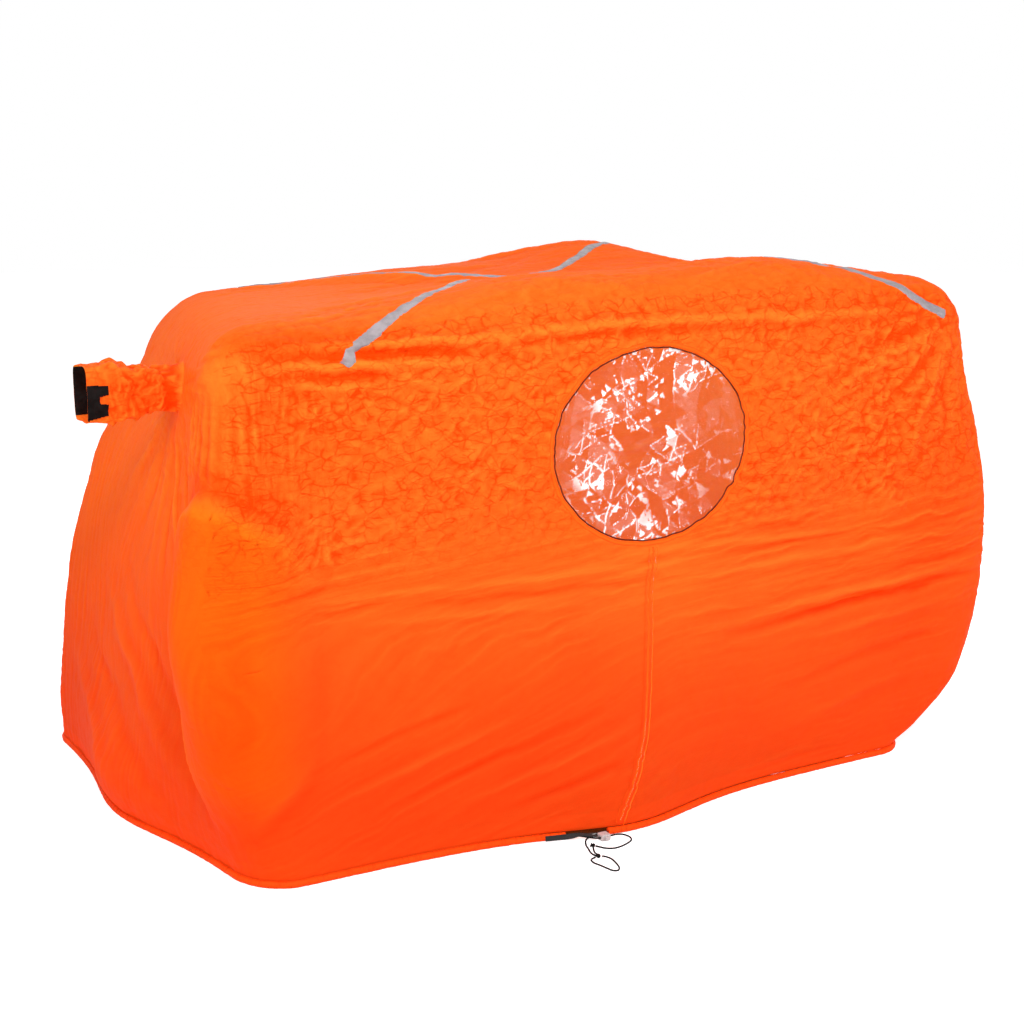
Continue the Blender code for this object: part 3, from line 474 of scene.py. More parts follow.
def ripstop(name, colour, deep):
    """Thin coated nylon: a ripstop grid, fine creases along the pull of the cloth, and light coming through. Its
    colour also carries painted shade, redder low down and darker in creases and valleys, and painted highlights
    on the ridges.
    """
    material, tree, shader = new_material(name, colour, 0.56)
    place = add(tree, "ShaderNodeTexCoord")
    obj_at, uv = place.outputs["Object"], place.outputs["UV"]
    height = add(tree, "ShaderNodeSeparateXYZ", {"Vector": obj_at}).outputs["Z"]
    # The colour turns redder towards the bottom of the walls: painted shade low down, with a random unevenness
    # in where it turns.
    uneven = noise_at(tree, obj_at, 3.2, 3.0, 0.55)
    level = math_node(tree, "MULTIPLY_ADD", uneven, 0.40, height)
    base = blend_colours(tree, ramp(tree, level, 0.22, 0.98), deep, colour)
    # The bulge is painted a fuller orange, with less green and blue, standing in for its weaker sheen.
    pressed = add(tree, "ShaderNodeAttribute", attribute_name="pressed").outputs["Fac"]
    bulge_unsheened = (colour[0], colour[1] * 0.84, colour[2] * 0.2)
    base = blend_colours(tree, math_node(tree, "MULTIPLY", pressed, 0.85), base, bulge_unsheened)
    threads = thread_grid(tree, uv, 0.0052)
    fine = noise_at(tree, obj_at, 420.0, 2.0)
    mottled = math_node(tree, "MULTIPLY_ADD", fine, 0.08, 0.96)
    # Paler along the doubled band at the foot of the walls, and darker just above the hem as painted shade in
    # its crease.
    hem_band_and_shade = ramp(tree, height, 0.040, 0.043, 0.060, 0.0)
    hem_band_and_shade = math_node(tree, "ADD", hem_band_and_shade, ramp(tree, height, 0.013, 0.019, -0.30, 0.0))
    shade = math_node(tree, "ADD", math_node(tree, "MULTIPLY_ADD", threads, -0.05, mottled), hem_band_and_shade)
    shaded = multiplied(tree, base, shade)

    warp = add(tree, "ShaderNodeTexNoise", {"Vector": obj_at, "Scale": 30.0, "Detail": 2.0})
    bent = add(tree, "ShaderNodeVectorMath", operation="MULTIPLY_ADD")
    tree.links.new(warp.outputs["Color"], bent.inputs[0])
    bent.inputs[1].default_value = (0.016, 0.016, 0.016)
    tree.links.new(obj_at, bent.inputs[2])
    flat = add(tree, "ShaderNodeMapping", {"Vector": bent.outputs[0], "Rotation": (0.0, 0.25, 0.0),
                                           "Scale": (0.75, 0.75, 1.35)})
    broken = ramp(tree, noise_at(tree, obj_at, 46.0, 2.0), 0.28, 0.54)
    creases = []
    for scale, width in ((40.0, 0.085), (74.0, 0.13)):
        cells = add(
            tree, "ShaderNodeTexVoronoi", {"Vector": flat.outputs[0], "Scale": scale},
            feature="DISTANCE_TO_EDGE",
        )
        creases.append(ramp(tree, cells.outputs["Distance"], 0.0, width, 1.0, 0.0))
    lines = math_node(tree, "MULTIPLY_ADD", creases[1], 0.55, math_node(tree, "MULTIPLY", creases[0], 0.9))
    lines = math_node(tree, "MULTIPLY", lines, broken)
    soft = noise_at(tree, bent.outputs[0], 70.0, 4.0, 0.62)
    network = math_node(tree, "MULTIPLY_ADD", soft, 1.5, math_node(tree, "MULTIPLY", lines, -0.55))
    where = add(tree, "ShaderNodeAttribute", attribute_name="crumple").outputs["Fac"]
    crumpled = add(
        tree, "ShaderNodeBump", {"Strength": where, "Distance": 0.0016, "Height": network}
    )

    flow = add(tree, "ShaderNodeAttribute", attribute_name="flow").outputs["Vector"]
    drift = add(tree, "ShaderNodeVectorMath", operation="MULTIPLY_ADD")
    tree.links.new(warp.outputs["Color"], drift.inputs[0])
    drift.inputs[1].default_value = (0.010, 0.010, 0.0)
    tree.links.new(flow, drift.inputs[2])
    pulls = []
    for across, along in ((230.0, 7.0), (110.0, 4.0)):
        stretched = add(tree, "ShaderNodeVectorMath", operation="MULTIPLY")
        tree.links.new(drift.outputs[0], stretched.inputs[0])
        stretched.inputs[1].default_value = (across, along, 0.0)
        pulls.append(noise_at(tree, stretched.outputs[0], 1.0, 2.0, 0.5))
    pulled = math_node(tree, "MULTIPLY_ADD", pulls[1], 1.8, pulls[0])
    lined = add(tree, "ShaderNodeAttribute", attribute_name="lined").outputs["Fac"]

    # Painted light and shade: the cloth's shading attribute, made darker along the bump's crease lines and paler
    # on the bump's raised noise and raised pull lines, becomes a tint from deep red to pale orange.
    painted_shading = add(tree, "ShaderNodeAttribute", attribute_name="painted_shading").outputs["Fac"]
    crease_shade = math_node(tree, "MULTIPLY", lines, where)
    painted_shading = math_node(tree, "MULTIPLY_ADD", crease_shade, -0.40, painted_shading)
    mixed = math_node(tree, "MULTIPLY", math_node(tree, "SUBTRACT", soft, 0.5), where)
    painted_shading = math_node(tree, "MULTIPLY_ADD", mixed, 0.42, painted_shading)
    drawn = math_node(tree, "MULTIPLY", math_node(tree, "SUBTRACT", pulled, 1.4), lined)
    painted_shading = math_node(tree, "MULTIPLY_ADD", drawn, 0.42, painted_shading, clamp=True)
    shading_tint = blend_colours(tree, painted_shading, (0.96, 0.42, 0.16), (1.02, 1.62, 3.10))
    with_painted_shading = multiplied(tree, shaded, shading_tint)
    tree.links.new(with_painted_shading, shader.inputs["Base Color"])

    ridged = add(
        tree, "ShaderNodeBump",
        {"Strength": lined, "Distance": 0.0011, "Height": pulled,
         "Normal": crumpled.outputs["Normal"]},
    )
    woven = add(
        tree, "ShaderNodeBump",
        {"Strength": 0.35, "Distance": 0.00012, "Height": threads, "Normal": ridged.outputs["Normal"]},
    )
    tree.links.new(woven.outputs["Normal"], shader.inputs["Normal"])
    orange_gloss(shader)
    glow = blend_colours(tree, 0.60, with_painted_shading, (1.0, 0.38, 0.045))
    through = add(tree, "ShaderNodeBsdfTranslucent", {"Color": glow})
    tree.links.new(woven.outputs["Normal"], through.inputs["Normal"])
    both_ways = add(tree, "ShaderNodeMixShader", {"Fac": 0.40})
    tree.links.new(shader.outputs[0], both_ways.inputs[1])
    tree.links.new(through.outputs[0], both_ways.inputs[2])
    tree.links.new(both_ways.outputs[0], tree.nodes["Material Output"].inputs["Surface"])
    return material


def stitched_cloth(name, colour, thread, width, inset=0.0022, pitch=0.0034):
    """A sewn band: lockstitch rows near both edges, read from a UV map in metres across and along."""
    material, tree, shader = new_material(name, colour, 0.58)
    place = add(tree, "ShaderNodeTexCoord")
    parts = add(tree, "ShaderNodeSeparateXYZ", {"Vector": place.outputs["UV"]})
    from_middle = math_node(
        tree, "ABSOLUTE", math_node(tree, "SUBTRACT", parts.outputs["X"], width / 2)
    )
    off_row = math_node(
        tree, "ABSOLUTE", math_node(tree, "SUBTRACT", from_middle, width / 2 - inset)
    )
    row = ramp(tree, off_row, 0.00035, 0.0007, 1.0, 0.0)
    along = math_node(tree, "PINGPONG", math_node(tree, "MULTIPLY", parts.outputs["Y"], 1 / pitch), 0.5)
    dash = ramp(tree, along, 0.10, 0.18)
    stitch = math_node(tree, "MULTIPLY", row, dash)
    groove = ramp(tree, off_row, 0.0004, 0.0016, 1.0, 0.0)
    grain = noise_at(tree, place.outputs["Object"], 900.0, 2.0)
    shade = math_node(tree, "MULTIPLY_ADD", grain, 0.16, 0.92)
    cloth = add(tree, "ShaderNodeMix", data_type="RGBA", blend_type="MULTIPLY")
    cloth.inputs[0].default_value = 1.0
    cloth.inputs[6].default_value = (*colour, 1.0)
    tree.links.new(shade, cloth.inputs[7])
    tree.links.new(blend_colours(tree, stitch, cloth.outputs[2], thread), shader.inputs["Base Color"])
    relief = math_node(tree, "MULTIPLY_ADD", stitch, 0.9, math_node(tree, "MULTIPLY", groove, -0.6))
    relief = math_node(tree, "MULTIPLY_ADD", grain, 0.25, relief)
    bump = add(tree, "ShaderNodeBump", {"Strength": 0.7, "Distance": 0.0005, "Height": relief})
    tree.links.new(bump.outputs["Normal"], shader.inputs["Normal"])
    orange_gloss(shader)
    return material


def woven_black(name, colour, rib=0.0011):
    """Narrow webbing or touch-and-close strip: ribs across it with a fine fuzz."""
    material, tree, shader = new_material(name, colour, 0.82)
    place = add(tree, "ShaderNodeTexCoord")
    ribs = thread_grid(tree, place.outputs["UV"], rib, 0.1)
    fuzz = noise_at(tree, place.outputs["Object"], 1400.0, 3.0)
    worn = noise_at(tree, place.outputs["Object"], 60.0, 2.0)
    light = math_node(tree, "MULTIPLY_ADD", fuzz, 0.5, worn)
    lifted = tuple(min(1.0, c * 2.0 + 0.002) for c in colour[:3])
    tree.links.new(
        blend_colours(tree, ramp(tree, light, 0.55, 1.05), colour, lifted), shader.inputs["Base Color"]
    )
    relief = math_node(tree, "MULTIPLY_ADD", fuzz, 0.7, ribs)
    bump = add(tree, "ShaderNodeBump", {"Strength": 0.8, "Distance": 0.0004, "Height": relief})
    tree.links.new(bump.outputs["Normal"], shader.inputs["Normal"])
    shader.inputs["Specular IOR Level"].default_value = 0.06
    return material


def reflective(name, colour):
    """Retro-reflective tape: a fine bead mesh, rub marks and a dull silver sheen."""
    material, tree, shader = new_material(name, colour, 0.42)
    place = add(tree, "ShaderNodeTexCoord")
    beads = thread_grid(tree, place.outputs["UV"], 0.0016, 0.30)
    rubbed = noise_at(tree, place.outputs["Object"], 38.0, 4.0, 0.6)
    dull = tuple(c * 0.74 for c in colour[:3])
    base = blend_colours(tree, ramp(tree, rubbed, 0.35, 0.66), dull, colour)
    tree.links.new(base, shader.inputs["Base Color"])
    tree.links.new(ramp(tree, rubbed, 0.3, 0.7, 0.52, 0.36), shader.inputs["Roughness"])
    shader.inputs["Metallic"].default_value = 0.12
    relief = math_node(tree, "MULTIPLY_ADD", rubbed, 1.2, beads)
    bump = add(tree, "ShaderNodeBump", {"Strength": 0.5, "Distance": 0.0003, "Height": relief})
    tree.links.new(bump.outputs["Normal"], shader.inputs["Normal"])
    return material


def clear_film(name, colour):
    """Clear flexible film: see-through, with a sharp gloss; white along its creases, partly as stress whitening
    and partly as painted glints, and with cloudy patches that are painted glints.
    """
    material, tree, shader = new_material(name, colour, 0.06)
    place = add(tree, "ShaderNodeTexCoord")
    creased = add(tree, "ShaderNodeAttribute", attribute_name="crease").outputs["Fac"]
    cloudy = add(tree, "ShaderNodeAttribute", attribute_name="glint_cloud").outputs["Fac"]
    fine = noise_at(tree, place.outputs["Object"], 75.0, 2.0, 0.5)
    bump = add(tree, "ShaderNodeBump", {"Strength": 0.35, "Distance": 0.0008, "Height": fine})
    tree.links.new(bump.outputs["Normal"], shader.inputs["Normal"])
    shader.inputs["IOR"].default_value = 1.52
    shader.inputs["Specular IOR Level"].default_value = 0.6
    shader.inputs["Coat Weight"].default_value = 1.0
    shader.inputs["Coat Roughness"].default_value = 0.05
    broken = ramp(tree, fine, 0.42, 0.50)
    # White creases: stress whitening together with painted glints; the glint cloud adds painted white patches
    # near the creases.
    whitened = math_node(tree, "MULTIPLY", creased, math_node(tree, "MULTIPLY_ADD", broken, 0.93, 0.05))
    milky = math_node(tree, "MULTIPLY_ADD", cloudy, 0.12, whitened)
    tree.links.new(math_node(tree, "ADD", milky, 0.018, clamp=True), shader.inputs["Alpha"])
    return material


def braided(name, colour):
    """Round braided cord: threads that cross aslant, read from a UV map round and along it."""
    material, tree, shader = new_material(name, colour, 0.66)
    place = add(tree, "ShaderNodeTexCoord")
    slant = add(tree, "ShaderNodeMapping", {"Vector": place.outputs["UV"], "Rotation": (0, 0, 0.785)})
    threads = thread_grid(tree, slant.outputs[0], 0.00085, 0.05)
    fuzz = noise_at(tree, place.outputs["Object"], 2500.0, 2.0)
    lifted = tuple(min(1.0, c * 2.5 + 0.004) for c in colour[:3])
    light = math_node(tree, "MULTIPLY", math_node(tree, "SUBTRACT", 1.0, threads), fuzz)
    tree.links.new(blend_colours(tree, light, colour, lifted), shader.inputs["Base Color"])
    relief = math_node(tree, "MULTIPLY_ADD", threads, -1.0, math_node(tree, "MULTIPLY", fuzz, 0.3))
    bump = add(tree, "ShaderNodeBump", {"Strength": 0.8, "Distance": 0.0003, "Height": relief})
    tree.links.new(bump.outputs["Normal"], shader.inputs["Normal"])
    shader.inputs["Specular IOR Level"].default_value = 0.08
    return material


def frosted_plastic(name, colour):
    material, tree, shader = new_material(name, colour, 0.32)
    place = add(tree, "ShaderNodeTexCoord")
    cloudy = noise_at(tree, place.outputs["Object"], 260.0, 3.0)
    deep = tuple(c * 0.78 for c in colour[:3])
    tree.links.new(blend_colours(tree, cloudy, deep, colour), shader.inputs["Base Color"])
    tree.links.new(ramp(tree, cloudy, 0.3, 0.7, 0.26, 0.40), shader.inputs["Roughness"])
    grain = noise_at(tree, place.outputs["Object"], 2200.0, 2.0)
    bump = add(tree, "ShaderNodeBump", {"Strength": 0.25, "Distance": 0.0002, "Height": grain})
    tree.links.new(bump.outputs["Normal"], shader.inputs["Normal"])
    shader.inputs["Transmission Weight"].default_value = 0.18
    return material


def drawn_wire(name, colour):
    material, tree, shader = new_material(name, colour, 0.28)
    place = add(tree, "ShaderNodeTexCoord")
    drawn = noise_at(tree, place.outputs["Object"], 3000.0, 2.0)
    tree.links.new(ramp(tree, drawn, 0.3, 0.7, 0.20, 0.36), shader.inputs["Roughness"])
    dark = tuple(c * 0.85 for c in colour[:3])
    tree.links.new(blend_colours(tree, drawn, dark, colour), shader.inputs["Base Color"])
    shader.inputs["Metallic"].default_value = 1.0
    return material


def coated_cloth(name, colour):
    """Heavy waterproof seat cloth, black, with a plain weave and creases."""
    material, tree, shader = new_material(name, colour, 0.46)
    place = add(tree, "ShaderNodeTexCoord")
    weave = thread_grid(tree, place.outputs["UV"], 0.0010, 0.15)
    creased = noise_at(tree, place.outputs["Object"], 24.0, 5.0, 0.62, 0.6)
    light = tuple(c * 2.2 + 0.006 for c in colour[:3])
    tree.links.new(
        blend_colours(tree, ramp(tree, creased, 0.42, 0.72), colour, light), shader.inputs["Base Color"]
    )
    relief = math_node(tree, "MULTIPLY_ADD", weave, 0.06, creased)
    bump = add(tree, "ShaderNodeBump", {"Strength": 0.5, "Distance": 0.003, "Height": relief})
    tree.links.new(bump.outputs["Normal"], shader.inputs["Normal"])
    return material


def rolled_hem(name, colour):
    """The rolled hem: cloth gathered tight round the cord, with fine folds across it that are painted darker in
    their valleys as shade.
    """
    material, tree, shader = new_material(name, colour, 0.58)
    place = add(tree, "ShaderNodeTexCoord")
    uv = place.outputs["UV"]
    folded = add(tree, "ShaderNodeMapping", {"Vector": uv, "Rotation": (0, 0, 0.45), "Scale": (40, 260, 1)})
    folds = noise_at(tree, folded.outputs[0], 1.0, 3.0, 0.55)
    grain = noise_at(tree, place.outputs["Object"], 700.0, 2.0)
    # Painted shade: darker where the fold noise is low, in the valleys of the folds.
    dark = tuple(c * 0.72 for c in colour[:3])
    tree.links.new(blend_colours(tree, ramp(tree, folds, 0.32, 0.55), dark, colour), shader.inputs["Base Color"])
    relief = math_node(tree, "MULTIPLY_ADD", grain, 0.12, folds)
    bump = add(tree, "ShaderNodeBump", {"Strength": 0.8, "Distance": 0.0016, "Height": relief})
    tree.links.new(bump.outputs["Normal"], shader.inputs["Normal"])
    orange_gloss(shader)
    return material


def made(name, make, *values):
    """A material by name, made the first time it is asked for."""
    return bpy.data.materials.get(name) or make(name, *values)


# The walls' cloth, simulated as one sheet and then parted at its seams

# Creases and rolls that are too narrow for the solids, by side: where each starts and ends in the two
# directions along the wall (x or y, then z; x and y on the roof), its height and the width of its slope
CREASES = {
    "front": (
        ((-0.790, 0.840), (-0.735, 0.862), 0.012, 0.030),
        ((-0.820, 0.420), (-0.740, 0.090), 0.012, 0.045),
        ((-0.690, 0.880), (-0.200, 0.874), 0.0095, 0.0080),
        ((-0.700, 0.866), (-0.250, 0.855), -0.0085, 0.0085),
        ((-0.690, 0.850), (-0.330, 0.838), 0.0060, 0.0080),
        ((-0.680, 0.834), (-0.380, 0.822), -0.0050, 0.0080),
        ((-0.660, 0.818), (-0.440, 0.806), 0.0040, 0.0075),
        ((-0.300, 0.880), (0.300, 0.890), 0.0065, 0.0100),
        ((-0.260, 0.862), (0.260, 0.872), -0.0055, 0.0100),
        ((0.100, 0.880), (0.660, 0.880), 0.0060, 0.0110),
        ((-0.560, 0.862), (-0.330, 0.790), 0.0050, 0.0100),
        ((-0.520, 0.868), (-0.180, 0.835), -0.0045, 0.0100),
        ((0.700, 0.850), (0.430, 0.740), 0.0065, 0.0120),
        ((0.705, 0.862), (0.500, 0.815), -0.0060, 0.0110),
        ((0.715, 0.835), (0.520, 0.660), -0.0055, 0.0120),
        ((0.725, 0.850), (0.600, 0.560), 0.0055, 0.0130),
        ((0.735, 0.850), (0.700, 0.560), -0.0050, 0.0120),
        ((-0.640, 0.470), (0.280, 0.452), 0.0042, 0.0080),
        ((-0.500, 0.444), (0.200, 0.424), -0.0040, 0.0080),
        ((-0.560, 0.424), (-0.020, 0.404), 0.0032, 0.0080),
        ((-0.050, 0.486), (0.640, 0.470), 0.0042, 0.0080),
        ((0.060, 0.452), (0.660, 0.478), -0.0040, 0.0080),
        ((0.050, 0.420), (0.820, 0.452), 0.0042, 0.0090),
        ((0.180, 0.302), (0.880, 0.358), -0.0100, 0.0100),
        ((0.120, 0.326), (0.880, 0.384), 0.0085, 0.0130),
        ((0.260, 0.262), (0.860, 0.318), 0.0045, 0.0100),
        ((0.300, 0.180), (0.760, 0.250), -0.0045, 0.0130),
        ((0.340, 0.110), (0.700, 0.180), 0.0050, 0.0140),
        ((-0.620, 0.116), (-0.200, 0.236), 0.0045, 0.0090),
        ((-0.520, 0.090), (-0.050, 0.226), -0.0045, 0.0090),
        ((-0.380, 0.080), (0.020, 0.190), 0.0045, 0.0090),
        ((-0.600, 0.190), (-0.280, 0.270), -0.0035, 0.0090),
        ((-0.300, 0.060), (0.000, 0.130), -0.0040, 0.0090),
    ),
    "left": (
        ((-0.290, 0.560), (-0.330, 0.060), -0.018, 0.060),
        ((-0.190, 0.760), (-0.340, 0.560), -0.007, 0.013),
        ((-0.170, 0.740), (-0.270, 0.460), 0.006, 0.013),
        ((-0.150, 0.735), (-0.190, 0.440), -0.006, 0.013),
        ((-0.130, 0.735), (-0.110, 0.450), 0.006, 0.013),
        ((-0.115, 0.745), (0.000, 0.500), -0.006, 0.014),
        ((-0.100, 0.760), (0.120, 0.560), 0.006, 0.015),
        ((-0.330, 0.100), (0.150, 0.420), 0.009, 0.022),
        ((-0.360, 0.170), (0.060, 0.480), -0.007, 0.020),
        ((-0.280, 0.060), (0.280, 0.330), -0.008, 0.024),
        ((-0.120, 0.050), (0.360, 0.240), 0.008, 0.024),
    ),
    "roof": (
        ((-0.500, 0.330), (0.100, -0.060), 0.006, 0.018),
        ((-0.480, 0.260), (0.200, -0.200), -0.005, 0.016),
        ((-0.640, -0.330), (-0.100, -0.250), 0.006, 0.016),
        ((0.660, -0.330), (0.200, 0.060), 0.008, 0.018),
        ((0.640, -0.300), (0.120, -0.120), -0.006, 0.018),
        ((0.650, -0.200), (0.420, 0.200), 0.007, 0.018),
        ((-0.300, -0.300), (0.360, 0.200), 0.006, 0.020),
        ((-0.420, -0.060), (0.260, 0.240), -0.006, 0.022),
        ((0.000, 0.320), (0.330, 0.260), 0.006, 0.018),
    ),
    "right": (
        ((-0.380, 0.840), (0.100, 0.400), 0.008, 0.022),
        ((-0.380, 0.700), (0.200, 0.300), -0.008, 0.022),
        ((0.380, 0.800), (-0.150, 0.220), 0.008, 0.024),
        ((-0.300, 0.340), (0.360, 0.180), -0.008, 0.024),
    ),
    "back": (
        ((-0.400, 0.840), (0.100, 0.420), 0.008, 0.024),
        ((0.620, 0.820), (0.060, 0.360), 0.008, 0.024),
        ((-0.600, 0.360), (0.300, 0.260), -0.008, 0.022),
        ((-0.300, 0.180), (0.620, 0.240), 0.007, 0.022),
    ),
}


def panel_net(side):
    """One side's net on the smooth shape, with its UV in metres, its cube points and its number."""
    half = (HALF_BOX[1] if side in ("left", "right") else HALF_BOX[0],
            HALF_BOX[1] if side == "roof" else HALF_BOX[2])
    columns, rows = (round(2 * h / NET_STEP) for h in half)
    obj, across, up = net(columns, rows)
    cube = on_side(side, across / columns * 2 - 1, up / rows * 2 - 1)
    set_coords(obj.data, shape(cube))
    set_uv(obj, across / columns * 2 * half[0], up / rows * 2 * half[1])
    corner = obj.data.attributes.new("cube", "FLOAT_VECTOR", "POINT")
    corner.data.foreach_set("vector", cube.astype(np.float32).ravel())
    number = obj.data.attributes.new("panel", "INT", "FACE")
    number.data.foreach_set("value", np.full(len(obj.data.polygons), list(SIDES).index(side), np.int32))
    return obj


def join_panels():
    panels = [panel_net(side) for side in SIDES]
    deselect()
    for panel in panels:
        panel.select_set(True)
    bpy.context.view_layer.objects.active = panels[0]
    bpy.ops.object.join()
    cloth = bpy.context.object
    weld(cloth, 2e-4)
    return cloth


def cube_of(cloth):
    flat = np.empty(len(cloth.data.vertices) * 3, np.float32)
    cloth.data.attributes["cube"].data.foreach_get("vector", flat)
    return flat.reshape(-1, 3).astype(float)


def normals_of(mesh):
    flat = np.empty(len(mesh.vertices) * 3, np.float32)
    mesh.vertices.foreach_get("normal", flat)
    return flat.reshape(-1, 3).astype(float)


def step(value, low, high):
    t = np.clip((value - low) / (high - low), 0, 1)
    return t * t * (3 - 2 * t)


def looseness(points, cube):
    """Where the cloth hangs slack and crumples, from 0 to 1: round the window and along the top of the walls."""
    x, y, z = points.T
    high = step(z, 0.46, 0.62)
    front = (cube[:, 1] < -0.98) & (cube[:, 2] < 0.999)
    ends = (np.abs(cube[:, 0]) > 0.98)
    loose = np.where(front, 0.10 + 0.90 * high, 0.16 + 0.34 * high)
    loose = np.where(ends, 0.14 + 0.20 * high, loose)
    return np.where(cube[:, 2] > 0.98, 0.30, loose)


def flow(side, points):
    """Places across and along the pull of the cloth, which its fine wrinkles follow, and how strong they are."""
    x, y, z = points.T
    if side in ("front", "back"):
        low = 1 - step(z, 0.22, 0.46)
        sideways = z - (0.27 * low * (1 - step(x, 0.0, 0.3)) + 0.09) * x
        corner = (1 - step(x, -0.70, -0.55)) * step(z, 0.50, 0.64) * (side == "front")
        across = sideways * (1 - corner) + (x + 0.3 * z) * corner
        middle = step(z, 0.30, 0.42) * (1 - step(z, 0.50, 0.58))
        strength = 0.34 + 0.50 * middle + 0.45 * corner - 0.12 * step(z, 0.6, 0.75)
        return across, x * (1 - corner) + z * corner, strength
    if side == "left":
        away = np.hypot(y - VENT_Y, z - VENT_Z)
        turn = np.arctan2(y - VENT_Y, VENT_Z - z)
        low = step(away, 0.30, 0.60)
        across = 0.26 * turn * (1 - low) + (y - VENT_Y) * low
        return across, away, np.full(len(x), 0.42) * step(away, 0.02, 0.12)
    if side == "right":
        return y, z, np.full(len(x), 0.40)
    return y - 0.12 * x, x, np.full(len(x), 0.42)


def soft(u, v, seed):
    """Smooth noise from -1 to 1 on a square lattice of pitch 1."""
    i, j = np.floor(u), np.floor(v)
    a, b = u - i, v - j
    a, b = a * a * (3 - 2 * a), b * b * (3 - 2 * b)
    low = lattice_value(i, j, seed) * (1 - a) + lattice_value(i + 1, j, seed) * a
    high = lattice_value(i, j + 1, seed) * (1 - a) + lattice_value(i + 1, j + 1, seed) * a
    return 2 * (low * (1 - b) + high * b) - 1


def ridges(u, v, seed):
    """Sharp-crested noise from -0.5 to 0.5, as in a fold that is pulled tight."""
    return 0.5 - np.abs(soft(u, v, seed)) ** 0.8


def relief(side, points):
    """Fine wrinkles on one side: a crumpled network where the cloth is slack, and lines where it is pulled."""
    across, along, lined = flow(side, points)
    a, b = PLANES[side]
    bend_a = 0.009 * soft(points[:, a] * 22, points[:, b] * 22, 11)
    bend_b = 0.009 * soft(points[:, a] * 22, points[:, b] * 22, 12)
    fine = 0.002 * soft(points[:, a] * 70, points[:, b] * 70, 13)
    u, v = points[:, a] + bend_a + fine, points[:, b] + bend_b - fine
    turned = 0.9 * u + 0.42 * v, 1.7 * (0.9 * v - 0.42 * u)
    crossed = u - 0.5 * v, 1.5 * (v + 0.5 * u)
    crumple = 0.0048 * facets(*turned, 0.040, 21)[0] + 0.0047 * facets(*crossed, 0.023, 22)[0]
    crumple += 0.0042 * facets(*turned, 0.014, 23)[0]
    over = across + 0.5 * (bend_a + bend_b) + 0.5 * fine
    pulled = 0.0042 * ridges(over * 34, along * 3.2, 31) + 0.0050 * ridges(over * 70, along * 6.0, 32)
    slack = slackness(side, points)
    patchy = 0.70 + 0.50 * soft(points[:, a] * 7, points[:, b] * 9, 14)
    return (crumple * slack + pulled * lined) * patchy


def slackness(side, points):
    """How crumpled the cloth is on one side, from 0 to 1."""
    x, y, z = points.T
    if side == "front":
        corner = 1 - step(x, -0.72, -0.60)
        return 0.10 + 0.90 * step(z, 0.47, 0.56) * (1 - 0.65 * corner)
    if side == "left":
        away = np.hypot(y - VENT_Y, z - VENT_Z)
        return 0.14 + 0.35 * (1 - step(away, 0.10, 0.30))
    if side == "roof":
        return 0.16 + 0.40 * (1 - step(y, -0.40, -0.20))
    return np.full(len(x), 0.25)


def spread(mesh, values, times):
    """Values at the vertices, evened out along the mesh's edges again and again."""
    pairs = np.empty(len(mesh.edges) * 2, np.int32)
    mesh.edges.foreach_get("vertices", pairs)
    pairs = pairs.reshape(-1, 2)
    count = len(mesh.vertices)
    share = 1 / np.bincount(pairs.ravel(), minlength=count)
    for _ in range(times):
        near = np.stack(
            [np.bincount(pairs[:, 0], values[pairs[:, 1], k], count)
             + np.bincount(pairs[:, 1], values[pairs[:, 0], k], count) for k in range(values.shape[1])], 1)
        values = 0.5 * values + 0.5 * near * share[:, None]
    return values


def weights_of(cube):
    """How much each point belongs to each side: all on a flat side, and shared round its edges."""
    near = {
        "front": -cube[:, 1], "back": cube[:, 1], "left": -cube[:, 0], "right": cube[:, 0],
        "roof": cube[:, 2],
    }
    weights = {side: step(value, 0.84, 1.0) for side, value in near.items()}
    total = sum(weights.values())
    return {side: weight / np.maximum(total, 1e-6) for side, weight in weights.items()}


BULGE_CENTRE = (-0.735, -0.415, 0.360)
BULGE_HALF = (0.105, 0.105, 0.295)
BULGE_HEIGHT = 0.024

# The pleats round the front left corner, from the roof's edge down to the bulge
PLEAT_TOPS = (
    (-0.742, -0.340, 0.800), (-0.747, -0.395, 0.815), (-0.747, -0.421, 0.821), (-0.736, -0.441, 0.826),
    (-0.726, -0.450, 0.827), (-0.714, -0.458, 0.816), (-0.690, -0.464, 0.800),
)
PLEAT_FEET = (
    (-0.745, -0.300, 0.655), (-0.752, -0.360, 0.650), (-0.758, -0.421, 0.647), (-0.746, -0.440, 0.650),
    (-0.731, -0.451, 0.656), (-0.712, -0.459, 0.670), (-0.680, -0.464, 0.690),
)

# Patches of painted light and shade, where the cloth is painted deeper or paler than the rest: centre, reach and
# how much
PAINTED_SHADING_PATCHES = (
    ((0.05, -0.50, 0.43), (0.38, 0.20, 0.10), 0.42),
    ((-0.45, -0.48, 0.24), (0.34, 0.20, 0.22), -0.30),
    ((0.72, -0.47, 0.50), (0.22, 0.25, 0.30), -0.34),
    ((-0.62, -0.45, 0.885), (0.22, 0.06, 0.022), -0.75),
    ((-0.60, -0.46, 0.76), (0.16, 0.08, 0.10), -0.30),
    ((0.64, -0.44, 0.88), (0.16, 0.08, 0.05), -0.45),
    ((-0.735, -0.44, 0.85), (0.05, 0.07, 0.07), 0.50),
    ((-0.72, -0.05, 0.60), (0.20, 0.24, 0.12), 0.22),
    ((-0.45, 0.00, 0.93), (0.30, 0.40, 0.20), 0.42),
    ((-0.78, -0.28, 0.30), (0.10, 0.16, 0.28), -0.20),
    ((-0.72, -0.46, 0.26), (0.07, 0.10, 0.18), -0.42),
)


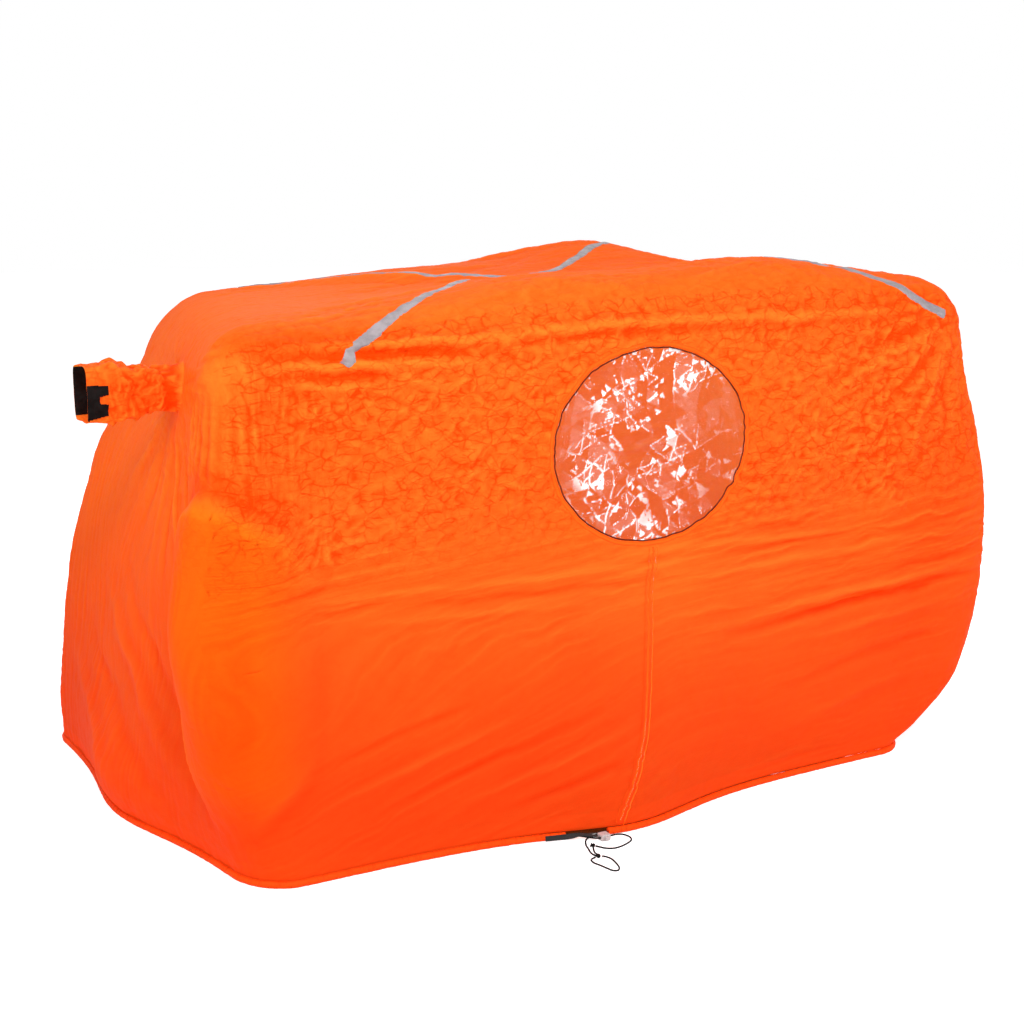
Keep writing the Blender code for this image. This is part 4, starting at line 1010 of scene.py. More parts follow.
def from_bulge(smooth):
    """How far each point is from the bulge's middle, as a share of its reach, and how crisp it is there."""
    away = (smooth - np.array(BULGE_CENTRE)) / np.array(BULGE_HALF)
    away[:, 0] = np.where(away[:, 0] > 0, away[:, 0] * 0.5, away[:, 0])
    left = (1 - step(away[:, 0], 0.12, 0.75)) * (1 - step(-away[:, 2], 0.50, 1.0))
    return np.linalg.norm(away, axis=1), left


def pressed_out(smooth):
    """The bulge where someone sits against the front left corner, from 0 to 1, sharp but on its right."""
    far, left = from_bulge(smooth)
    return (1 - step(far, 0.92, 1.06)) * left


def pleats(points):
    """The height of the corner's pleats, ridge and valley by turns."""
    height = np.zeros(len(points))
    near = (points[:, 0] < -0.64) & (points[:, 1] < -0.26) & (points[:, 2] > 0.60)
    tops = smooth_route(PLEAT_TOPS, 0.0115)
    feet = smooth_route(PLEAT_FEET, 0.0010)
    feet = feet[np.linspace(0, len(feet) - 1, len(tops)).astype(int)]
    for i, (top, foot) in enumerate(zip(tops, feet)):
        tall = 0.0036 if i % 2 else -0.0030
        wavy = points[near] + 0.0025 * soft(points[near, 2] * 30, points[near, 1] * 8, i)[:, None]
        height[near] += fold_height(wavy, top, foot, tall * (0.3 + 1.1 * lattice_value(i, 0, 3)), 0.0054)
    return height


def painted_shading_of(mesh, rise, smooth):
    """Painted light and shade at each point, from 0 to 1: paler on its ridges and deeper in its valleys, with a
    painted highlight along the bulge's rim, painted shadow just beyond it, and the listed patches.
    """
    layers = rise[:, None]
    fine = (layers - spread(mesh, layers, 5))[:, 0]
    broad = (layers - spread(mesh, layers, 45))[:, 0]
    painted_shading = 0.55 + 0.055 * fine / fine.std() + 0.045 * broad / broad.std()
    far, left = from_bulge(smooth)
    # Painted highlight along the bulge's left rim, and painted shadow on the cloth just beyond it.
    painted_shading += left * (0.20 * np.exp(-(((far - 0.97) / 0.05) ** 2)) - 0.30 * np.exp(-(((far - 1.11) / 0.06) ** 2)))
    for centre, reach, amount in PAINTED_SHADING_PATCHES:
        away = (smooth - np.array(centre)) / np.array(reach)
        painted_shading += 0.5 * amount * np.exp(-(away**2).sum(axis=1))
    return np.clip(painted_shading, 0, 1)


def crease_all(cube, smooth):
    """The height of all the creases and fine wrinkles at each point."""
    height = BULGE_HEIGHT * pressed_out(smooth)
    height += pleats(smooth)
    for side, weight in weights_of(cube).items():
        plane = smooth[:, PLANES[side]]
        part = relief(side, smooth)
        for start, end, tall, width in CREASES[side]:
            bent = plane + 0.35 * width * np.stack(
                [soft(plane[:, 0] * 18, plane[:, 1] * 18, 41), soft(plane[:, 0] * 18, plane[:, 1] * 18, 42)], 1
            )
            part = part + fold_height(bent, start, end, tall, width)
        height += part * weight * (1 - 0.80 * pressed_out(smooth))
    return height


def refine(cloth):
    """Halves the net, with its new points between the old ones."""
    shell = bmesh.new()
    shell.from_mesh(cloth.data)
    bmesh.ops.subdivide_edges(shell, edges=shell.edges, cuts=1, use_grid_fill=True)
    shell.to_mesh(cloth.data)
    shell.free()


def hang(cloth, slack):
    """Lets the slack cloth buckle into creases by simulation, and keeps the smooth shape under them."""
    start = coords(cloth.data)
    cube = cube_of(cloth)
    outward = normals_of(cloth.data)
    seedling = np.array([noise.fractal(Vector(p) * 22.0, 1.0, 2.0, 3) for p in start])
    set_coords(cloth.data, start + outward * (0.0006 * seedling)[:, None])
    loose = looseness(start, cube)
    pins = cloth.vertex_groups.new(name="pins")
    pins.add([int(i) for i in np.where(cube[:, 2] < -0.9999)[0]], 1.0, "REPLACE")
    tight = cloth.vertex_groups.new(name="tight")
    for i, weight in enumerate(1 - loose):
        tight.add([i], float(weight), "REPLACE")
    sim = cloth.modifiers.new("cloth", "CLOTH")
    settings = sim.settings
    settings.quality = 4
    settings.mass = 0.05
    settings.tension_stiffness = 15
    settings.compression_stiffness = 15
    settings.shear_stiffness = 8
    settings.bending_stiffness = 0.05
    settings.air_damping = 3
    settings.effector_weights.gravity = 0
    settings.vertex_group_mass = "pins"
    settings.vertex_group_shrink = "tight"
    settings.shrink_min = -slack
    settings.shrink_max = 0.0
    sim.collision_settings.use_collision = False
    sim.point_cache.frame_end = SIM_FRAMES
    for moment in range(1, SIM_FRAMES + 1):
        bpy.context.scene.frame_set(moment)
    apply_all(cloth)
    bpy.context.scene.frame_set(1)
    moved = coords(cloth.data) - start
    moved -= spread(cloth.data, moved, 250)
    length = np.linalg.norm(moved, axis=1, keepdims=True)
    moved *= np.minimum(1, MOST_MOVED / np.maximum(length, 1e-9))
    corner = np.sort(np.abs(cube), axis=1)[:, 0]
    moved *= (1 - step(corner, 0.90, 0.97))[:, None]
    return start + moved


def snap_to_ring(points, chosen, axes, centre, half, cell):
    """Moves the chosen points that lie near an oval onto it, and gives each point's share of its radius."""
    offset = (points[:, axes] - np.array(centre)) / np.array(half)
    share = np.linalg.norm(offset, axis=1)
    near = chosen & (np.abs(share - 1) < 0.52 * cell / min(half))
    points[np.ix_(near, axes)] = np.array(centre) + offset[near] / share[near, None] * np.array(half)
    share[near] = 1.0
    return np.where(chosen, share, 9.0)


def part_of(cloth, name, keep):
    """A copy of the cloth with only the faces that keep marks."""
    obj = cloth.copy()
    obj.data = cloth.data.copy()
    bpy.context.scene.collection.objects.link(obj)
    shell = bmesh.new()
    shell.from_mesh(obj.data)
    shell.faces.ensure_lookup_table()
    bmesh.ops.delete(shell, geom=[f for f in shell.faces if not keep[f.index]], context="FACES")
    shell.to_mesh(obj.data)
    shell.free()
    obj.name = name
    return obj


def split_at_ring(cloth, share):
    """Cuts the faces that an oval crosses from corner to corner, so that its edge runs smoothly."""
    shell = bmesh.new()
    shell.from_mesh(cloth.data)
    for face in list(shell.faces):
        if len(face.verts) != 4:
            continue
        where = [share[v.index] for v in face.verts]
        if min(where) < 0.9999 and 1.0001 < max(where) < 8:
            for first, second in ((0, 2), (1, 3)):
                if abs(where[first] - 1) < 1e-6 and abs(where[second] - 1) < 1e-6:
                    bmesh.utils.face_split(face, face.verts[first], face.verts[second])
                    break
    shell.to_mesh(cloth.data)
    shell.free()


def keep_bend(mesh):
    """Shades a parted piece with the whole cloth's own directions, so that no line shows at its seams."""
    flat = np.empty(len(mesh.vertices) * 3, np.float32)
    mesh.attributes["bend"].data.foreach_get("vector", flat)
    mesh.normals_split_custom_set_from_vertices(flat.reshape(-1, 3).tolist())


def tree_of(mesh):
    return BVHTree.FromPolygons(
        [v.co.copy() for v in mesh.vertices], [list(p.vertices) for p in mesh.polygons]
    )


CLOTH = {}


class ClothLooks(bpy.types.PropertyGroup):
    colour: bpy.props.FloatVectorProperty(
        name="Cloth", description="Colour of the ripstop cloth", subtype="COLOR", size=3,
        default=(0.985, 0.158, 0.008), min=0, max=1,
    )
    # The skirt colour, which the walls turn to low down and the hem is made of, is painted shade.
    deep: bpy.props.FloatVectorProperty(
        name="Skirt", description="Redder colour low on the walls", subtype="COLOR", size=3,
        default=(0.930, 0.066, 0.004), min=0, max=1,
    )
    binding: bpy.props.FloatVectorProperty(
        name="Binding", description="Colour of the folded bands and seams", subtype="COLOR", size=3,
        default=(0.950, 0.130, 0.007), min=0, max=1,
    )
    thread: bpy.props.FloatVectorProperty(
        name="Thread", description="Colour of the pale thread", subtype="COLOR", size=3,
        default=(0.80, 0.27, 0.17), min=0, max=1,
    )
    edge: bpy.props.FloatVectorProperty(
        name="Window edge", description="Colour of the thread along the window's edge", subtype="COLOR",
        size=3, default=(0.080, 0.012, 0.008), min=0, max=1,
    )
    film: bpy.props.FloatVectorProperty(
        name="Film", description="Colour of the clear film's haze", subtype="COLOR", size=3,
        default=(0.92, 0.90, 0.89), min=0, max=1,
    )
    tape: bpy.props.FloatVectorProperty(
        name="Tape", description="Colour of the reflective tape", subtype="COLOR", size=3,
        default=(0.300, 0.255, 0.270), min=0, max=1,
    )
    black: bpy.props.FloatVectorProperty(
        name="Black", description="Colour of the cord, webbing, strips and seats", subtype="COLOR", size=3,
        default=(0.0060, 0.0048, 0.0046), min=0, max=1,
    )
    plastic: bpy.props.FloatVectorProperty(
        name="Cord lock", description="Colour of the frosted plastic", subtype="COLOR", size=3,
        default=(0.66, 0.60, 0.59), min=0, max=1,
    )
    slack: bpy.props.FloatProperty(
        name="Slack", description="How much longer the cloth is than the shape it covers",
        default=0.016, min=0.0, max=0.05, subtype="FACTOR",
    )


class BOTHY_OT_walls(bpy.types.Operator):
    """Hang the four walls and the roof, and part them at their seams"""

    bl_idname = "bothy.walls"
    bl_label = "Walls and roof"

    def execute(self, context):
        looks = context.scene.bothy_cloth
        cloth = join_panels()
        points = hang(cloth, looks.slack)
        set_coords(cloth.data, points)
        refine(cloth)
        points = coords(cloth.data)
        cube = cube_of(cloth)
        smooth = shape(cube)
        height = crease_all(cube, smooth)
        points += normals_of(cloth.data) * height[:, None]
        # Painted light and shade from the heights of the wrinkles, kept for the cloth's colour.
        painted_shading = painted_shading_of(cloth.data, height, smooth)
        foot = cube[:, 2] < -0.9999
        points[foot] = smooth[foot]
        low = step(smooth[:, 2], 0.0, 0.05)
        points[:, 2] += (1 - low) * (HEM_HEIGHT - 0.003)
        front = cube[:, 1] < -0.999
        left = cube[:, 0] < -0.999
        cell = NET_STEP / 2
        in_window = snap_to_ring(points, front, [0, 2], WINDOW_CENTRE, WINDOW_HALF, cell)
        in_vent = snap_to_ring(points, left, [1, 2], (VENT_Y, VENT_Z), (VENT_HOLE, VENT_HOLE), cell)
        set_coords(cloth.data, points)
        set_attribute(cloth.data, "crumple", looseness(smooth, cube))
        set_attribute(cloth.data, "pressed", pressed_out(smooth))
        set_attribute(cloth.data, "painted_shading", painted_shading)

        split_at_ring(cloth, in_window)
        split_at_ring(cloth, in_vent)
        panel = np.empty(len(cloth.data.polygons), np.int32)
        cloth.data.attributes["panel"].data.foreach_get("value", panel)
        window = np.array([min(in_window[i] for i in p.vertices) < 0.9999 for p in cloth.data.polygons])
        vent = np.array([min(in_vent[i] for i in p.vertices) < 0.9999 for p in cloth.data.polygons])
        CLOTH["tree"] = tree_of(cloth.data)
        bend = cloth.data.attributes.new("bend", "FLOAT_VECTOR", "POINT")
        bend.data.foreach_set("vector", normals_of(cloth.data).astype(np.float32).ravel())
        CLOTH["film"] = part_of(cloth, "window_film_net", window)
        fabric = made("orange_ripstop", ripstop, tuple(looks.colour), tuple(looks.deep))
        for number, (side, node) in enumerate(SIDES.items()):
            keep = (panel == number) & ~window & ~vent
            wall = part_of(cloth, node + "_cloth", keep)
            across, along, strength = flow(side, coords(wall.data))
            flowing = wall.data.attributes.new("flow", "FLOAT_VECTOR", "POINT")
            together = np.stack([across, along, np.zeros_like(across)], 1)
            flowing.data.foreach_set("vector", together.astype(np.float32).ravel())
            set_attribute(wall.data, "lined", strength)
            finish_piece(wall, node + "_cloth", fabric, "shelter")
            keep_bend(wall.data)
            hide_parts(node, *(["vent_patch"] if side == "left" else []))
        bpy.data.objects.remove(cloth)
        return {"FINISHED"}


def on_cloth(point):
    place, normal, _, _ = CLOTH["tree"].find_nearest(Vector(point))
    return np.array(place), np.array(normal)


def lay_band(name, route, width, lift, rows=6, tuck=0.0006, pucker=0.0, closed=False, straighten=0):
    """A band along a route on the hung cloth, full in its middle and tucked down at both edges."""
    route = np.asarray(route, float)
    if straighten:
        route = np.array([on_cloth(place)[0] for place in route])
    for _ in range(straighten):
        route[1:-1] = 0.5 * route[1:-1] + 0.25 * (route[2:] + route[:-2])
    if closed:
        ahead = np.roll(route, -1, axis=0) - np.roll(route, 1, axis=0)
    else:
        ahead = np.gradient(route, axis=0)
    places = np.linspace(-0.5, 0.5, rows + 1)
    feet = [on_cloth(place) for place in route]
    upright = np.array([normal for _, normal in feet])
    for _ in range(straighten):
        upright[1:-1] = 0.5 * upright[1:-1] + 0.25 * (upright[2:] + upright[:-2])
    points, outward = [], []
    for (middle, _), normal, direction in zip(feet, upright, ahead):
        side = np.cross(normal, direction)
        side /= np.linalg.norm(side)
        row = []
        for s in places:
            foot, facing = on_cloth(middle + side * width * s)
            height = lift * (1 - abs(2 * s) ** 4) - tuck * abs(2 * s) ** 6
            wave = pucker * noise.noise(Vector(foot * 160)) * (1 - abs(2 * s) ** 4)
            row.append(foot + facing * (height + wave))
        points.append(row)
        outward.append(np.broadcast_to(normal, (rows + 1, 3)))
    points, outward = np.array(points), np.array(outward)
    if closed:
        points = np.concatenate([points, points[:1]])
        outward = np.concatenate([outward, outward[:1]])
    band = surface(name, points, outward)
    if closed:
        weld(band)
    return band


def oval(centre, half, spacing, ragged=0.0):
    """Points evenly round the window's oval, before the front wall."""
    count = round(math.pi * (half[0] + half[1]) / spacing)
    points = []
    for i in range(count):
        angle = 2 * math.pi * i / count
        wave = 1 + ragged * noise.noise(Vector((9 * math.cos(angle), 9 * math.sin(angle), 4.0)))
        x = centre[0] + half[0] * wave * math.cos(angle)
        z = centre[1] + half[1] * wave * math.sin(angle)
        hit = CLOTH["tree"].ray_cast(Vector((x, -1.0, z)), Vector((0, 1, 0)))[0]
        points.append(np.array(hit))
    return np.array(points)


class BOTHY_OT_window(bpy.types.Operator):
    """Crumple the clear window film and sew it in with a folded band"""

    bl_idname = "bothy.window"
    bl_label = "Window"

    def execute(self, context):
        looks = context.scene.bothy_cloth
        film = CLOTH["film"]
        shell = bmesh.new()
        shell.from_mesh(film.data)
        bmesh.ops.subdivide_edges(shell, edges=shell.edges, cuts=1, use_grid_fill=True)
        bmesh.ops.recalc_face_normals(shell, faces=shell.faces)
        middle = shell.faces[0]
        if middle.normal.y > 0:
            bmesh.ops.reverse_faces(shell, faces=shell.faces)
        shell.to_mesh(film.data)
        shell.free()
        points = coords(film.data)
        offset = (points[:, [0, 2]] - np.array(WINDOW_CENTRE)) / np.array(WINDOW_HALF)
        inward = 1 - np.linalg.norm(offset, axis=1)
        warp = wander(points, 11.0, 0.024) + wander(points, 42.0, 0.002)
        u, v = points[:, 0] + warp[:, 0], points[:, 2] + warp[:, 2]
        turned = (u * 0.8 - v * 0.6, u * 0.6 + v * 0.8)
        rough = 1 - 0.70 * step(points[:, 0] - 0.3 * (points[:, 2] - WINDOW_CENTRE[1]), 0.08, 0.18)
        height = np.zeros(len(points))
        # The crease attribute whitens the creases as stress marks and adds painted glints on some facet edges;
        # the glint haze gathers painted white patches near the creases.
        crease = np.zeros(len(points))
        glint_haze = np.zeros(len(points))
        for pitch, tall, seed in ((0.064, 0.0120, 1), (0.030, 0.0078, 2), (0.014, 0.0022, 3)):
            h, near, number = facets(*turned, pitch, seed)
            height += tall * h
            sharp = 1 - step(near * pitch, 0.0004, 0.0022)
            if seed < 3:
                crease = np.maximum(crease, sharp * step(number, 0.60, 0.70))
                glint_haze += number * step(near * pitch, 0.0, 0.0008)
            if seed > 1:
                glint = step(near * pitch, 0.0004, 0.0010) * step(number, 0.925, 0.94)
                crease = np.maximum(crease, glint)
        height += 0.0040 * ridges(turned[0] * 30, turned[1] * 15, 4)
        fade = step(inward, 0.0, 0.12)
        points[:, 1] += 0.0016 * step(inward, 0.0, 0.03) - (height * rough - 0.002) * fade
        set_coords(film.data, points)
        patchy = np.array([noise.noise(Vector(p) * 9.0) for p in points])
        crease *= rough * step(inward, 0.0, 0.02) * step(patchy, -0.40, 0.05)
        set_attribute(film.data, "crease", crease)
        set_attribute(film.data, "glint_cloud", step(glint_haze, 0.8, 1.6) * (0.18 + 0.50 * rough) * fade)
        clear = made("clear_window_film", clear_film, tuple(looks.film))
        finish_piece(film, "window_film_sheet", clear, "shelter")
        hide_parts("window_film")
        band_width = 0.010
        half = [h + 0.0025 for h in WINDOW_HALF]
        band = lay_band(
            "window_band", oval(WINDOW_CENTRE, half, 0.0045, 0.010), band_width, 0.0012, pucker=0.0018,
            closed=True,
        )
        sewn = made("orange_binding", stitched_cloth, (0.94, 0.105, 0.006), (0.86, 0.080, 0.006), band_width)
        finish_piece(band, "window_band", sewn, "shelter")
        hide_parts("window_binding")
        half = [h - 0.0036 for h in WINDOW_HALF]
        rim = oval(WINDOW_CENTRE, half, 0.0035, 0.010)
        rim = np.concatenate([rim, rim[:1]])
        rim[:, 1] -= 0.0006
        edge = tube_along("window_edge", rim, 0.0011, 8)
        dark = made("dark_edge_thread", woven_black, tuple(looks.edge))
        finish_piece(edge, "window_edge", dark, "shelter")
        return {"FINISHED"}


HEM_HALF_WIDTH = 0.006
CORD_EXITS = (-0.160, -0.085)
MOUTH_RINGS = ((-0.0035, 0.62), (-0.0014, 0.90), (0.0, 0.97))


def hem_route(spacing):
    """The hem's middle line on the ground, from the cord's right way out round to its left one."""
    fine = np.linspace(-1, 1, 1201)
    lines = []
    for side in ("front", "right", "back", "left", "front"):
        line = shape(on_side(side, fine, -np.ones_like(fine)))
        line[:, 2] = 0.0
        lines.append(line)
    lines[0] = lines[0][lines[0][:, 0] > CORD_EXITS[1]]
    lines[4] = lines[4][lines[4][:, 0] < CORD_EXITS[0]]
    whole = np.concatenate([line[:-1] for line in lines[:4]] + [lines[4]])
    walked = np.concatenate([[0], np.cumsum(np.linalg.norm(np.diff(whole, axis=0), axis=1))])
    wanted = np.linspace(0, walked[-1], round(walked[-1] / spacing) + 1)
    return np.stack([np.interp(wanted, walked, whole[:, k]) for k in range(3)], 1)


class BOTHY_OT_hem(bpy.types.Operator):
    """Roll and gather the hem round its drawcord, with the webbing tab at the cord's way out"""

    bl_idname = "bothy.hem"
    bl_label = "Hem"

    def execute(self, context):
        looks = context.scene.bothy_cloth
        route = hem_route(0.0045)
        ahead = np.gradient(route, axis=0)
        ahead /= np.linalg.norm(ahead, axis=1, keepdims=True)
        side = np.cross(ahead, (0.0, 0.0, 1.0))
        angle = np.linspace(0, 2 * math.pi, 16, endpoint=False)
        across = np.sign(np.cos(angle)) * np.abs(np.cos(angle)) ** 0.9 * HEM_HALF_WIDTH
        tall = np.sin(angle) * HEM_HEIGHT / 2
        rings, outward = [], []
        for i, (place, over) in enumerate(zip(route, side)):
            gather = 0.75 + 0.25 * noise.noise(Vector(place * 55))
            ring, away = [], []
            for a, t, turn in zip(across, tall, angle):
                foot = place + over * a + np.array([0, 0, HEM_HEIGHT / 2 + t])
                out = over * math.cos(turn) + np.array([0, 0, math.sin(turn)])
                pleat = noise.noise(Vector((foot[0] * 120, foot[1] * 120, turn * 1.3)))
                point = foot + out * (0.0009 * pleat * gather - 0.0004)
                point[2] = max(point[2], 0.0004)
                ring.append(point)
                away.append(out)
            rings.append(ring)
            outward.append(away)
        rings, outward = np.array(rings), np.array(outward)
        for end, direction in ((0, 1), (-1, -1)):
            middle = route[end] + np.array([0, 0, HEM_HEIGHT / 2])
            mouth = [middle + (rings[end] - middle) * s - direction * ahead[end] * d * -1
                     for d, s in ((0.006, 0.35), (0.0015, 0.50), (-0.0006, 0.72), (-0.0006, 0.92))]
            extra = np.array(mouth if direction == 1 else mouth[::-1])
            both = [extra, rings] if direction == 1 else [rings, extra]
            rings = np.concatenate(both)
            facing = np.repeat(outward[end][None], len(extra), axis=0)
            outward = np.concatenate([facing, outward] if direction == 1 else [outward, facing])
        tube = surface("hem_tube", rings, outward, closed=True)
        # The hem is given the deeper skirt colour as painted shade low down.
        cloth = made("orange_hem", rolled_hem, tuple(looks.deep))
        finish_piece(tube, "hem_tube", cloth, "shelter")
        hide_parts("front_hem_left", "front_hem_right", "right_hem", "back_hem", "left_hem")
        inner = tube_along("hem_cord", route + np.array([0, 0, 0.005]), 0.0015, 8)
        cord = made("black_braid", braided, tuple(looks.black))
        finish_piece(inner, "hem_cord", cord, "shelter")
        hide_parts("hem_drawcord")
        self.tab(looks)
        return {"FINISHED"}

    def tab(self, looks):
        """The webbing tab: upright on the hem's face, then twisted flat over the cord up to the lock."""
        hem = hem_route(0.004)
        hem = hem[(hem[:, 0] < -0.15) & (hem[:, 1] < -0.3)]
        middle = []
        for x, y, z, lean in TAB_ROUTE:
            if y == 0.0:
                y = float(np.interp(x, hem[:, 0], hem[:, 1])) - HEM_HALF_WIDTH - 0.0012
            middle.append((x, y, z, lean))
        middle = np.array(middle)
        places = smooth_route(middle[:, :3], 0.0016)
        share = np.linspace(0, len(middle) - 1, len(places))
        lean = np.interp(share, np.arange(len(middle)), middle[:, 3]) * math.pi / 2
        ahead = np.gradient(places, axis=0)
        ahead /= np.linalg.norm(ahead, axis=1, keepdims=True)
        inward = np.cross((0.0, 0.0, 1.0), ahead)
        up = np.array([0.0, 0.0, 1.0])
        width = up * np.cos(lean)[:, None] + inward * np.sin(lean)[:, None]
        rows = np.linspace(-0.5, 0.5, 9)
        points = places[:, None] + width[:, None] * (TAB_WIDTH * rows)[None, :, None]
        facing = np.cross(ahead, width)
        tab = surface("webbing_tab", points, np.repeat(facing[:, None], 9, axis=1))
        wall = tab.modifiers.new("thickness", "SOLIDIFY")
        wall.thickness = 0.0012
        wall.offset = 0.0
        apply_all(tab)
        webbing = made("black_webbing", woven_black, tuple(looks.black))
        finish_piece(tab, "webbing_tab", webbing, "shelter")
        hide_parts("hem_webbing_tab")


SLEEVE_START, SLEEVE_END, LIP_HINGE_X = -0.735, -0.868, -0.812
SLEEVE_ROOT_HALF = (0.036, 0.034)
SLEEVE_MOUTH_HALF = (0.040, 0.046)
LIP_HEIGHT = 0.080
NEAR_STRIP = (
    (0.0, -0.040), (0.034, -0.033), (0.034, -0.015), (0.020, -0.013),
    (0.020, -0.002), (0.034, 0.002), (0.034, 0.016), (0.0, 0.018),
)
FAR_STRIP = ((0.0, -0.040), (0.022, -0.040), (0.022, 0.040), (0.0, 0.040))


def sleeve_ring(x, angle):
    """The sleeve's section: round at its root, and a tall rounded oblong at its mouth."""
    share = min(1.0, max(0.0, (SLEEVE_START - x) / (SLEEVE_START - LIP_HINGE_X)))
    half_y, half_z = (a + (b - a) * share for a, b in zip(SLEEVE_ROOT_HALF, SLEEVE_MOUTH_HALF))
    power = 2.0 + 4.0 * share
    c, s = np.cos(angle), np.sin(angle)
    reach = (np.abs(c) ** power + np.abs(s) ** power) ** (-1 / power)
    return np.stack([np.full_like(c, x), VENT_Y + half_y * reach * c, VENT_Z + half_z * reach * s], 1)


def inside_outline(outline, u, v):
    """Whether each point lies inside an outline, by how often a line from it crosses the edge."""
    inside = np.zeros(len(u), bool)
    for (u0, v0), (u1, v1) in zip(outline, outline[1:] + outline[:1]):
        if v0 != v1:
            inside ^= ((v0 > v) != (v1 > v)) & (u < (u1 - u0) * (v - v0) / (v1 - v0) + u0)
    return inside


class BOTHY_OT_vent(bpy.types.Operator):
    """Gather the vent's root, crumple its sleeve and sew the closing strips to its mouth"""

    bl_idname = "bothy.vent"
    bl_label = "Vent"

    def execute(self, context):
        looks = context.scene.bothy_cloth
        sides = 120
        angle = 2 * math.pi * (np.arange(sides) + 0.5) / sides
        rings = []
        for radius, lift in ((0.0450, -0.0008), (0.0436, 0.0006), (0.0424, 0.0022)):
            ring = []
            for a in angle:
                spot = Vector((-1.2, VENT_Y + radius * math.cos(a), VENT_Z + radius * math.sin(a)))
                hit = CLOTH["tree"].ray_cast(spot, Vector((1, 0, 0)))[0]
                ring.append((hit.x - lift, hit.y, hit.z))
            rings.append(ring)
        first = np.array(rings[-1])
        root = sleeve_ring(SLEEVE_START, angle)
        for share in (0.25, 0.5, 0.75):
            bent = first + (root - first) * np.array([share, share**0.6, share**0.6])
            rings.append(bent)
        for x in np.linspace(SLEEVE_START, SLEEVE_END, 76):
            rings.append(sleeve_ring(x, angle))
        rings = np.array(rings, float)
        middle = np.array([0.0, VENT_Y, VENT_Z])
        away = rings - middle
        away[..., 0] = 0
        away /= np.linalg.norm(away, axis=2, keepdims=True)
        flat = rings.reshape(-1, 3)
        warp = wander(flat, 38.0, 0.010)
        round_it = np.tile(angle * 0.040, len(rings)) + warp[:, 1]
        along = flat[:, 0] + warp[:, 0]
        height = np.zeros(len(flat))
        for pitch, tall, seed in ((0.021, 0.0135, 7), (0.0105, 0.0072, 8), (0.0054, 0.0028, 9)):
            height += tall * facets(round_it, along, pitch, seed)[0]
        near_root = 1 - step(flat[:, 0], -0.722, -0.712)
        near_mouth = 0.25 + 0.75 * step(flat[:, 0], SLEEVE_END, -0.825)
        moved = flat + away.reshape(-1, 3) * (height * near_root * near_mouth)[:, None]
        tube = surface("vent_tube", moved.reshape(rings.shape), away, closed=True)
        set_attribute(tube.data, "crumple", np.full(len(tube.data.vertices), 0.8))
        set_attribute(tube.data, "lined", np.full(len(tube.data.vertices), 0.1))
        # Painted light and shade on the sleeve: paler on its crumpled ridges and darker in its folds.
        at = coords(tube.data)
        rise = np.linalg.norm(at[:, 1:] - np.array([VENT_Y, VENT_Z]), axis=1)
        rise = (rise[:, None] - spread(tube.data, rise[:, None], 12))[:, 0]
        set_attribute(tube.data, "painted_shading", np.clip(0.48 + 0.30 * rise / rise.std(), 0, 1))
        part = []
        for face in tube.data.polygons:
            spots = at[list(face.vertices)]
            lip = (
                spots[:, 0].max() < LIP_HINGE_X + 0.001
                and np.abs(spots[:, 2] - VENT_Z).max() < LIP_HEIGHT / 2 + 0.0015
                and np.abs(spots[:, 1] - VENT_Y).min() > 0.015
            )
            part.append(0 if not lip else (1 if spots[:, 1].mean() < VENT_Y else 2))
        part = np.array(part)
        fabric = bpy.data.materials["orange_ripstop"]
        sleeve = part_of(tube, "vent_sleeve_cloth", part == 0)
        finish_piece(sleeve, "vent_sleeve_cloth", fabric, None)
        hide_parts("vent_collar", "vent_sleeve")
        strip_cloth = made("black_closing_strip", woven_black, tuple(looks.black))
        for number, side in ((1, "near"), (2, "far")):
            lip = part_of(tube, f"vent_{side}_lip_cloth", part == number)
            finish_piece(lip, f"vent_{side}_lip_cloth", fabric, f"vent_{side}_side")
            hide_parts(f"vent_{side}_lip")
            strip = self.strip(side, tree_of(lip.data))
            finish_piece(strip, f"vent_{side}_strip_cloth", strip_cloth, f"vent_{side}_side")
            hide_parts(f"vent_{side}_strip")
        bpy.data.objects.remove(tube)
        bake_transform(sleeve)
        return {"FINISHED"}

    def strip(self, side, lip):
        """A closing strip: outside the near lip, and inside the far one."""
        outline = NEAR_STRIP if side == "near" else FAR_STRIP
        cell = 0.00125
        columns, rows = round(0.034 / cell), round(0.080 / cell)
        obj, across, up = net(columns, rows)
        u, v = across / columns * 0.034, up / rows * 0.080 - 0.040
        gap = -0.0011 if side == "near" else -0.0016
        points = []
        for a, b in zip(u, v):
            foot = Vector((SLEEVE_END + a, VENT_Y + (-0.06 if side == "near" else 0.02), VENT_Z + b))
            hit = lip.ray_cast(foot, Vector((0, 1, 0)))[0]
            y = hit.y if hit else VENT_Y + (-0.040 if side == "near" else 0.040)
            points.append((foot.x, y + gap, foot.z))
        set_coords(obj.data, np.array(points))
        set_uv(obj, u, v)
        shell = bmesh.new()
        shell.from_mesh(obj.data)
        centres = np.array([f.calc_center_median() for f in shell.faces])
        keep = inside_outline(outline, centres[:, 0] - SLEEVE_END, centres[:, 2] - VENT_Z)
        gone = [f for f, stays in zip(shell.faces, keep) if not stays]
        bmesh.ops.delete(shell, geom=gone, context="FACES")
        for face in shell.faces:
            if face.normal.y > 0:
                face.normal_flip()
        shell.to_mesh(obj.data)
        shell.free()
        obj.name = f"vent_{side}_strip_cloth"
        wall = obj.modifiers.new("thickness", "SOLIDIFY")
        wall.thickness = 0.0012
        wall.offset = 0.0
        apply_all(obj)
        return obj


